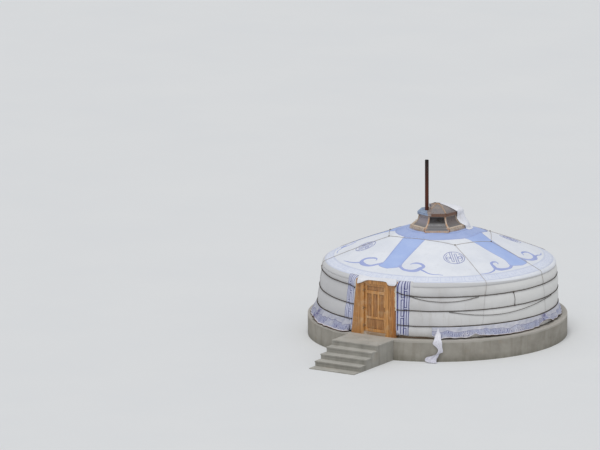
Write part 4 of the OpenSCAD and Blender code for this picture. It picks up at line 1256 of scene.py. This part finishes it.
# ropes
ropes = {
    "knotTurns": [50.4, 97.4, 145.0, 188.0, 232.0, 274.0, 315.0],
    "knotRadii": [1.523, 1.680, 1.660, 1.550, 1.550, 1.540, 1.440],
    "feet": [55.8, 92.8, 143.0, 188.0, 232.0, 270.0, 306.0],
    "leans": [-1.1, 0.3, 0.0, 0.4, -0.3, 0.2, 0.5],   # turn of each rope between the eave and the upper rope
    "ringBends": [(345.0, 1.270), (380.0, 1.250)],   # where the ring rope bears on the front of the roof
    # of each girth rope: rise at the right and the left board, and the turn in which it dies away
    "climb": [(0.035, 0.030, 3.0), (0.040, 0.050, 3.0), (0.195, 0.010, 3.2)],
    "upperStrand": [(17.4, 1.204), (18.6, 1.184), (21, 1.148), (26, 1.098), (31, 1.070), (35, 1.062),
                    (40, 1.072), (44.5, 1.100), (48.3, 1.138), (51.5, 1.172)],
    "middleStrand": [(36.5, 0.777), (42.8, 0.720), (49.7, 0.665), (56.6, 0.632), (63.4, 0.625), (70.2, 0.640),
                     (77.0, 0.669), (83.7, 0.705), (90.1, 0.740), (96.0, 0.765), (101.5, 0.778)],
    "tie": 71.0,
}


def outwardAt(points):
    # level direction away from the yurt's axis
    out = points * np.array([1.0, 1.0, 0.0])
    return out / np.linalg.norm(out, axis=1)[:, None]


def makeGirthRopes():
    # three ropes round the cloth that climb a little towards the door's boards, with a knot at both ends: the
    # rise dies away from each board as an exponential
    parts = []
    half = yurt["girthRope"] / 2
    for k, height in enumerate(yurt["ropeHeights"]):
        right, left = clothEnds(height)
        az = np.linspace(right + 0.75, left - 0.75, 2100)
        onRight, onLeft, reach = ropes["climb"][k]
        climb = onRight * np.exp(-(az - right) / reach) + onLeft * np.exp(-(left - az) / reach)
        path = wallPoint(az, ropeLevel(k, az) + climb + 0.005 * ripple(az, 40 + k, 5, 30), half + 0.002)
        out = outwardAt(path)
        parts.append(rope(path, out, half, lay=0.12))
        parts += [knot(path[end], out[end], 0.022) for end in (0, -1)]
    piece = makePiece("girth_rope_lines", parts, finishes["rope"])
    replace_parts(piece, "girth_ropes")


def unrolled(turn, radius):
    # a place on the cone laid flat: its distance from the tip is the radius over coneShare, and its angle
    # there is the turn times coneShare
    a = np.radians(turn) * coneShare
    return np.stack([np.cos(a), np.sin(a)], -1) * radius / coneShare


def tautOnRoof(start, end, count):
    # straight on the unrolled cone between two (azimuth, radius) places
    share = np.linspace(0, 1, count)[:, None]
    flat = (1 - share) * unrolled(0.0, start[1]) + share * unrolled(end[0] - start[0], end[1])
    az = start[0] + np.degrees(np.arctan2(flat[:, 1], flat[:, 0])) / coneShare
    return az, np.hypot(flat[:, 0], flat[:, 1]) * coneShare


def makeRoofRopes(lines):
    # from each knot of the ring rope down over the eave to the upper rope, and on below it to the middle one
    half = yurt["roofRope"] / 2
    parts, below, knots = [], [], []
    each = [lines[key] for key in ("knotTurns", "knotRadii", "feet", "leans")]
    for turn, radius, foot, lean in zip(*each):
        upper, middle = ropeLevel(2, foot), ropeLevel(1, foot)
        az, r = tautOnRoof((turn, radius + 0.02), (foot, arcStart), 120)
        top = roofPoint(az, alongAt(r), half + 0.002)
        bend = roofPoint(np.full(25, foot), np.linspace(alongAt(arcStart), hemAlong, 26)[1:], half + 0.002)
        drop = np.linspace(0, 1, 15)[1:]
        low = wallTop - 0.03
        wall = wallPoint(foot + lean * drop, low + (upper + 0.02 - low) * drop, half + 0.004)
        path = evenLine(np.concatenate([top, bend, wall]), 260)
        out = outwardAt(path) + np.array([0.0, 0.0, 0.6])
        parts.append(rope(path, out, half, lay=0.09, sides=6))
        for high, end, start in [(upper, middle, 1.0), (middle, yurt["ropeHeights"][0], 1.9)]:
            turns = foot + lean * (start + np.linspace(0.0, 0.9, 30))
            line = wallPoint(turns, np.linspace(high - 0.020, end + 0.020, 30), 0.004)
            below.append(rope(line, outwardAt(line), 0.004, lay=0.06, sides=6))
        onRing = roofPoint(np.array([turn]), alongAt(np.array([radius])), half + 0.006)[0]
        onWall = wallPoint(np.array([foot + lean]), np.array([upper + 0.012]), 0.018)[0]
        knots.append(knot(onRing, (0, 0, 1), 0.024))
        knots.append(knot(onWall, outwardAt(path[-1:])[0], 0.020))
    piece = makePiece("roof_rope_lines", parts, finishes["paleRope"])
    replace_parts(piece, "roof_ropes")
    makePiece("roof_rope_knots", knots, finishes["knotRope"])
    makePiece("wall_seam_lines", below, finishes["seam"])
    stops = list(zip(lines["knotTurns"], lines["knotRadii"])) + lines["ringBends"]
    stops.append((stops[0][0] + 360, stops[0][1]))
    path = []
    for start, end in zip(stops[:-1], stops[1:]):
        az, r = tautOnRoof(start, end, 60)
        path.append(roofPoint(az[:-1], alongAt(r[:-1]), half + 0.002))
    path = np.concatenate(path)
    upward = np.tile([0.0, 0.0, 1.0], (len(path), 1))
    ringRope = rope(path, upward, half, lay=0.09, sides=6, closedPath=True)
    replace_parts(makePiece("roof_ring_rope_line", [ringRope], finishes["paleRope"]), "roof_ring_rope")


def makeSlack(name, node, strand, count):
    # a slack strand between two ties, lying against the cloth
    line = smoothLine(strand, count)
    path = wallPoint(line[:, 0], line[:, 1], yurt["roofRope"])
    strands = rope(path, outwardAt(path), yurt["roofRope"] / 2, lay=0.09)
    piece = makePiece(name, [strands], finishes["rope"])
    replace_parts(piece, node)


def makeTie(lines):
    # an upright rope between the middle and the upper girth rope that bends a little aside by a sine wave,
    # with a knot at each end
    low, high = yurt["ropeHeights"][1] + 0.02, yurt["ropeHeights"][2] - 0.02
    z = np.linspace(low, high, 30)
    path = wallPoint(lines["tie"] + 0.3 * np.sin(np.linspace(0, 3, 30)), z, 0.010)
    parts = [rope(path, outwardAt(path), yurt["roofRope"] / 2, lay=0.09)]
    for height in (low - 0.01, high + 0.01):
        spot = wallPoint(np.array([lines["tie"]]), np.array([height]), 0.022)
        parts.append(knot(spot[0], outwardAt(spot)[0], 0.024))
    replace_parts(makePiece("rope_tie_line", parts, finishes["rope"]), "rope_tie")


makeGirthRopes()
makeRoofRopes(ropes)
makeSlack("slack_strand_upper", "slack_rope_upper", ropes["upperStrand"], 280)
makeSlack("slack_strand_middle", "slack_rope_middle", ropes["middleStrand"], 540)
makeTie(ropes)
print("ropes made")

# skirts
skirts = {
    "right": (28.4, 184.9),
    "left": (185.3, 346.0),
    "top": 0.351,
    "thickness": 0.006,
    "columns": 620,
    "plinthEdge": 3.795,
    "hem": [(28.3, 0.111), (30.7, 0.070), (32.2, 0.024), (36.0, 0.058), (39.3, 0.040), (45.3, 0.046),
            (48.7, 0.138), (51.4, 0.078), (57.8, 0.046), (65.2, 0.030), (73.2, 0.024), (80.6, 0.022),
            (86.2, 0.040), (89.6, 0.135), (93.3, 0.172), (97.0, 0.120), (100.3, 0.052), (104.0, 0.035)],
}


def skirtFinish(name, cloth, shade, fields, curled, paintedShadeAt):
    # plain cloth, a thin wave line printed along its middle, below it pale blue fields with violet curls, and
    # a white piped hem. A brown line along its lower edge some way round is painted shade under the hem, and
    # dark spots at one place along it are painted shade under the raised hem; the map's second coordinate is
    # the height above the hem
    made = startFinish(name, Roughness=0.85, Sheen_Weight=0.1)
    tree = made[1]
    where = place(tree, True, (1.0, 1.0, 1.0))
    along, height = put(tree, "SeparateXYZ", {0: where}).outputs[:2]
    wander = noise(tree, place(tree, True, (2.6, 0.0, 1.0)), 1.0, 2.0, 0.5)
    middle = spread(tree, wander, 0.3, 0.7, (0.155, 0.265))
    worn = noise(tree, where, 5.0, 5.0, 0.6)
    colour = blend(tree, spread(tree, worn, 0.35, 0.7), cloth, shade)
    below = maths(tree, "SUBTRACT", middle, height)
    under = spread(tree, below, 0.0, 0.02)
    field = times(tree, under, spread(tree, noise(tree, where, 2.4, 3.0), 0.38, 0.52))
    colour = over(tree, colour, field, 0.5, fields)
    curl = put(tree, "TexWave", {"Vector": where, "Scale": 7.0, "Distortion": 11.0, "Detail": 1.0,
                                 "Detail Scale": 1.3}, wave_type="RINGS", rings_direction="SPHERICAL")
    curls = times(tree, spread(tree, curl.outputs["Fac"], 0.70, 0.80), under)
    curls = times(tree, curls, spread(tree, noise(tree, where, 3.1, 2.0), 0.36, 0.46))
    colour = over(tree, colour, curls, 0.75, curled)
    apart = maths(tree, "ABSOLUTE", below)
    colour = blend(tree, spread(tree, apart, 0.008, 0.005, (0.0, 0.75)), colour, curled)
    piped = spread(tree, height, 0.040, 0.034, (0.0, 0.8))
    colour = blend(tree, piped, colour, blend(tree, 0.5, cloth, (246, 238, 240)))
    # painted shade: dark spots at one place along the skirt, where its hem is raised
    apart = maths(tree, "ABSOLUTE", maths(tree, "SUBTRACT", along, paintedShadeAt))
    spots = spread(tree, noise(tree, where, 9.0, 2.0), 0.42, 0.55)
    colour = over(tree, colour, times(tree, spread(tree, apart, 0.22, 0.05), spots), 0.8, curled)
    # painted shade: a brown line along the hem's lower edge beyond azimuth 50
    hemShadeLine = times(tree, spread(tree, height, 0.020, 0.014), spread(tree, along, 2.98, 3.08))
    colour = blend(tree, hemShadeLine, colour, (112, 84, 66))
    relief = noise(tree, place(tree, scale=(14.0, 14.0, 9.0)), 1.0, 5.0, 0.55, 0.8)
    return finished(made, colour, relief, 0.4, 0.02)


finishes["skirtRight"] = skirtFinish("rightSkirt", (218, 217, 224), (192, 194, 208), (168, 178, 212),
                                     (88, 84, 142), paintedShadeAt=5.6)
# the left skirt's colours are darker than the right's, partly as painted shade
finishes["skirtLeft"] = skirtFinish("leftSkirt", (194, 194, 202), (162, 164, 180), (150, 156, 190),
                                    (76, 72, 126), paintedShadeAt=19.36)


def skirtPoint(az, share, lift, side):
    # hangs from the lowest rope: share 0 is the top edge, 1 the hem. It leaves the wall as it falls, with
    # folds that deepen downwards and a wavy hem. The left one reaches out to the plinth's edge near the door,
    # less far round the side, and is turned up in one place
    start, end = skirts[side]
    fold = ripple(az, 52, 40, 95, 1.6 * share, 12)
    crumple = ripple(az, 53, 90, 190, 7.0 * share, 12)
    if side == "right":
        peak = bell(az, 94.5, 2.6)
        seen = np.interp(az, *zip(*skirts["hem"])) + 0.004 * crumple
        blown = 0.022 + 0.030 * (ripple(az, 51, 14, 46) + 1.0)
        hem = seen + (blown - seen) * np.clip((az - 98) / 6, 0, 1)
        flare = 0.035 + 0.030 * ripple(az, 54, 3, 9) + 0.05 * peak
        out = 0.012 * np.sqrt(share) + flare * share ** 1.6 + (0.004 + 0.024 * share) * fold + 0.012 * share
    else:
        turnedUp = bell(az, 317.0, 2.2)
        hem = 0.012 + 0.010 * (ripple(az, 51, 14, 46) + 1.0) + 0.095 * turnedUp
        reach = 0.150 + 0.085 * eased((az - 312.0) / 14.0) + 0.05 * turnedUp
        out = 0.012 * np.sqrt(share) + reach * (0.7 * share + 0.3 * share ** 2)
        out = out + (0.004 + 0.022 * share) * fold
    height = skirts["top"] + (hem - skirts["top"]) * share
    out = out + 0.004 + 0.010 * np.sin(np.pi * share) ** 0.5 * crumple
    edge = np.clip(np.minimum(az - start, end - az) / 1.5, 0, 1)
    radius = wallSeat(height) + 0.028 + np.maximum(out * (0.4 + 0.6 * edge), 0.0)
    return around(np.minimum(radius, skirts["plinthEdge"]) + lift, az, np.maximum(height, 0.008))


def makeSkirt(name, node, side, finish):
    # the skirt's face on a grid of azimuth and share, and its back a thickness behind it
    start, end = skirts[side]
    az = np.linspace(start, end, skirts["columns"])[:, None]
    share = np.linspace(0, 1, 22)[None, :]
    front = skirtPoint(az, share, 0.0, side)
    back = skirtPoint(az, share[:, ::-1], -skirts["thickness"], side)
    uv = np.stack(np.broadcast_arrays(np.radians(az) * 3.5, skirts["top"] * (1 - share)), -1)
    part = loft(np.concatenate([front, back], 1), np.concatenate([uv, uv[:, ::-1]], 1), caps="strip")
    piece = makePiece(name, [part], finish)
    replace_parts(piece, node)
    return piece


skirtRight = makeSkirt("skirt_cloth_right", "skirt_right", "right", finishes["skirtRight"])
skirtLeft = makeSkirt("skirt_cloth_left", "skirt_left", "left", finishes["skirtLeft"])
print("skirts made")

# loose cloths: over the door, over the crown, and the torn strip
doorFlap = {
    "hem": [(-0.557, 1.476), (-0.42, 1.521), (-0.245, 1.600), (0.06, 1.624), (0.38, 1.616), (0.465, 1.550),
            (0.64, 1.536), (0.71, 1.554), (0.738, 1.600)],
    "back": (-13.7, 9.3),      # azimuths of the edge that lies on the roof
    "backRadius": 3.20,
    "lipHeight": 1.617,        # of the bend over the head board
    "lipFront": 3.500,
    "bend": 0.70,              # share of the way down at which it bends
    "thickness": 0.005,
}


def makeDoorFlap(flap):
    # ruled from its back edge on the roof to the front of the head board, then bent down to a hem that
    # droops at both corners, with slanting folds towards the left one
    hem = smoothLine(flap["hem"], 84)
    across = np.linspace(0, 1, 84)[:, None]
    down = np.linspace(0, 1, 36)[None, :]
    az = np.radians(flap["back"][0] + (flap["back"][1] - flap["back"][0]) * across)
    backR = flap["backRadius"] + 0.02 * np.sin(5 * across)
    backX, backY, backZ = backR * np.sin(az), -backR * np.cos(az), roofHeight(backR) + 0.018
    hemX, hemZ = hem[:, :1], hem[:, 1:]
    droop = np.clip((1.615 - hemZ) / 0.07, 0, 1)
    hemY = -3.516 - 0.034 * droop - 0.006 * np.sin(17 * across)
    lipZ = np.maximum(flap["lipHeight"] + 0.004 * np.sin(11 * across), hemZ * 0.5 + 0.5 * flap["lipHeight"])
    run = np.clip(down / flap["bend"], 0, 1)
    lip = np.clip((down - flap["bend"]) / (1 - flap["bend"]), 0, 1)
    x = backX + (hemX - backX) * run
    y = backY + (-flap["lipFront"] - backY) * run + (hemY + flap["lipFront"]) * np.sin(0.5 * np.pi * lip)
    z = backZ + (lipZ - backZ) * run + (hemZ - lipZ) * (1 - np.cos(0.5 * np.pi * lip))
    hold = np.sin(np.pi * np.clip(down, 0, 1)) ** 0.7
    folds = 0.010 * np.sin(26 * (0.8 * x + 0.9 * y)) * np.clip(1 - across * 2.2, 0, 1)
    folds = folds + 0.006 * np.sin(8 * x + 13 * y) + 0.003 * np.sin(47 * x + 9 * y)
    z = z + np.maximum(folds * hold, -0.003)
    y = y - 0.010 * np.sin(34 * x + 2) * lip * droop
    front = np.stack(np.broadcast_arrays(x, y, yurt["plinthTop"] + z), -1)
    back = front[:, ::-1] + np.array([0.0, 0.4, -0.8]) * flap["thickness"]
    piece = makePiece("door_flap_cloth", [loft(np.concatenate([front, back], 1), caps="strip")],
                      finishes["looseCanvas"])
    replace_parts(piece, "door_flap")


crownFlap = {
    "thrown": [(0.089, 3.246), (0.190, 3.231), (0.342, 3.188), (0.485, 3.124), (0.590, 3.104),
               (0.672, 3.092), (0.736, 3.058), (0.750, 2.960), (0.806, 2.810), (0.912, 2.650),
               (1.010, 2.497), (1.100, 2.462)],
    "hugging": [(0.089, 3.246), (0.190, 3.231), (0.330, 3.190), (0.465, 3.128), (0.530, 3.093),
                (0.588, 3.058), (0.602, 3.030), (0.600, 2.950), (0.588, 2.900), (0.582, 2.865),
                (0.596, 2.820), (0.622, 2.775), (0.652, 2.737), (0.690, 2.702), (0.752, 2.668),
                (0.822, 2.640), (0.848, 2.616), (0.856, 2.560), (0.880, 2.530), (0.965, 2.500)],
    "nearEdge": [(2.46, 105), (2.60, 104.6), (2.66, 105), (2.87, 105.6), (3.035, 104), (3.12, 100),
                 (3.25, 94)],
    "farEdge": 228.0,
    "foot": 0.88,   # radius from which the cloth lies on the roof
    "hem": [(90, 0.96), (107, 0.96), (143, 1.10), (190, 1.06), (228, 1.10)],   # azimuth and radius
    "thickness": 0.006,
}


def makeCrownFlap(flap):
    # a cloth thrown back over the crown: a profile turned about the axis, with folds running down it. At its
    # near edge it hugs the panes, and within a few degrees it goes over to the looser profile. The near edge
    # wanders with height, sinks onto the dome, and the tail ends on the roof at the hem's radius
    tight, loose = smoothLine(flap["hugging"], 64), smoothLine(flap["thrown"], 64)
    share = np.linspace(0, 1, 64)[None, :]
    turn = np.linspace(0, 1, 160)[:, None] ** 1.25
    near = np.interp(tight[:, 1], *zip(*flap["nearEdge"]))[None, :]
    az = near + (flap["farEdge"] + 3 * np.sin(5 * share) - near) * turn
    away = eased((az - near - 1.0) / 15.0)
    drawn = tight[None, :, 0] * (1 - away) + loose[None, :, 0] * away
    level = tight[None, :, 1] * (1 - away) + loose[None, :, 1] * away
    way = np.gradient(loose, axis=0)
    way /= np.linalg.norm(way, axis=1)[:, None]
    fold = 0.014 * (1 + ripple(az, 61, 9, 26, 2 * share)) + 0.004 * (1 + ripple(az, 62, 40, 90, 5 * share))
    push = fold * share ** 0.7 * np.clip((1.02 - share) * 6, 0, 1) * (0.25 + 0.75 * away)
    tail = np.interp(az, *zip(*flap["hem"]))
    foot, end = flap["foot"], drawn[:, -1:]
    outside = np.clip((drawn - foot) / (end - foot), 0, 1)
    radius = np.where(drawn > foot, foot + (tail - foot) * outside, drawn) - push * way[None, :, 1]
    onRoof = roofHeight(np.maximum(radius, yurt["crownRadius"])) + 0.012
    height = np.maximum(level + push * way[None, :, 0], np.where(radius > foot, onRoof, 0.0))
    height = height - 0.011 * np.exp((near - az) / 1.5) * (drawn < 0.6)
    outer = around(radius, az, height)
    under = flap["thickness"] * way[None]
    inner = around(radius + under[..., 1], az, height - under[..., 0])
    piece = makePiece("crown_flap_cloth", [loft(np.concatenate([outer, inner[:, ::-1]], 1), caps="strip")],
                      finishes["looseCanvas"])
    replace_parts(piece, "crown_flap")


tornStrip = {
    "turn": 31.0,     # azimuth of the line the strip hangs along; across is to the right of it
    "left": [(0.000, 3.535, 0.320), (-0.050, 3.620, 0.160), (-0.120, 3.788, 0.012),
             (-0.134, 3.800, -0.060), (-0.030, 3.805, -0.170), (0.010, 3.815, -0.260),
             (-0.060, 3.825, -0.380), (-0.300, 3.850, -0.440), (-0.360, 3.880, -0.540),
             (-0.210, 3.965, -0.588)],
    "right": [(0.030, 3.535, 0.320), (0.080, 3.610, 0.170), (0.115, 3.788, 0.012), (0.135, 3.800, -0.120),
              (0.145, 3.808, -0.300), (0.075, 3.825, -0.330), (0.020, 3.835, -0.420), (-0.030, 3.865, -0.500),
              (-0.020, 3.940, -0.590), (-0.020, 3.990, -0.590)],
    "thickness": 0.005,
}


def makeTornStrip(strip):
    # ruled between two ragged edges given as (across, out from the axis, height), with folds along it
    rows = 90
    a, b = smoothLine(strip["left"], rows), smoothLine(strip["right"], rows)
    share = np.linspace(0, 1, rows)[:, None]
    side = np.linspace(0, 1, 20)[None, :]
    grid = a[:, None] + (b - a)[:, None] * side[..., None]
    wide = np.linalg.norm(b - a, axis=1)[:, None]
    hold = np.sin(np.pi * side) * np.clip(wide / 0.15, 0.2, 1)
    folds = 0.016 * np.sin(15 * side + 9 * share) * hold + 0.008 * np.sin(37 * side + 23 * share) * hold
    out = grid[..., 1] + 0.012 + np.maximum(folds, -0.006)
    across = grid[..., 0] + 0.006 * np.sin(29 * share) * (1 - 2 * side)
    height = np.maximum(grid[..., 2], -0.594 + 0.010 * (1 + np.sin(19 * side + 7 * share)))
    turn = math.radians(strip["turn"])
    sideways = np.array([math.cos(turn), math.sin(turn), 0.0])
    outward = np.array(wayTo(strip["turn"]))
    up = np.array([0.0, 0.0, 1.0])
    level = (yurt["plinthTop"] + height)[..., None]
    front = across[..., None] * sideways + out[..., None] * outward + level * up
    back = front[:, ::-1] - (0.9 * outward + 0.4 * up) * strip["thickness"]
    piece = makePiece("torn_strip_cloth", [loft(np.concatenate([front, back], 1), caps="strip")],
                      finishes["tornCloth"])
    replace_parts(piece, "torn_strip")


makeDoorFlap(doorFlap)
makeCrownFlap(crownFlap)
makeTornStrip(tornStrip)
print("loose cloths made")

# floor and light
studio = {
    "floor": 400.0,
    "floorColours": ((226, 227, 228), (232, 232, 231)),
    "sun": 1.35,
    "sunTurn": 16.0,
    "sunRise": 68.0,
    "sunSize": 30.0,
    "sky": 0.50,
    "skyColour": (0.93, 0.96, 1.0, 1.0),
}


def makeStudio(look):
    # a square pale floor, a broad soft sun and an even sky
    half = look["floor"] / 2
    mesh = bpy.data.meshes.new("floor")
    corners = [(-half, -half, 0), (half, -half, 0), (half, half, 0), (-half, half, 0)]
    mesh.from_pydata(corners, [], [(0, 1, 2, 3)])
    floor = bpy.data.objects.new("floor", mesh)
    bpy.context.scene.collection.objects.link(floor)
    finish, tree, shader = startFinish("paleFloor", Roughness=0.95)
    mottled = noise(tree, place(tree), 0.25, 3.0)
    tree.links.new(blend(tree, mottled, *look["floorColours"]), shader.inputs["Base Color"])
    mesh.materials.append(finish)
    sun = bpy.data.lights.new("sun", "SUN")
    sun.energy = look["sun"]
    sun.angle = math.radians(look["sunSize"])
    lamp = bpy.data.objects.new("sun", sun)
    bpy.context.scene.collection.objects.link(lamp)
    back = Vector(wayTo(look["sunTurn"], look["sunRise"]))
    lamp.rotation_mode = "QUATERNION"
    lamp.rotation_quaternion = (-back).to_track_quat("-Z", "Y")
    world = bpy.data.worlds.new("sky")
    bpy.context.scene.world = world
    world.use_nodes = True
    sky = world.node_tree.nodes["Background"]
    sky.inputs["Color"].default_value = look["skyColour"]
    sky.inputs["Strength"].default_value = look["sky"]


makeStudio(studio)
print("floor and light made")
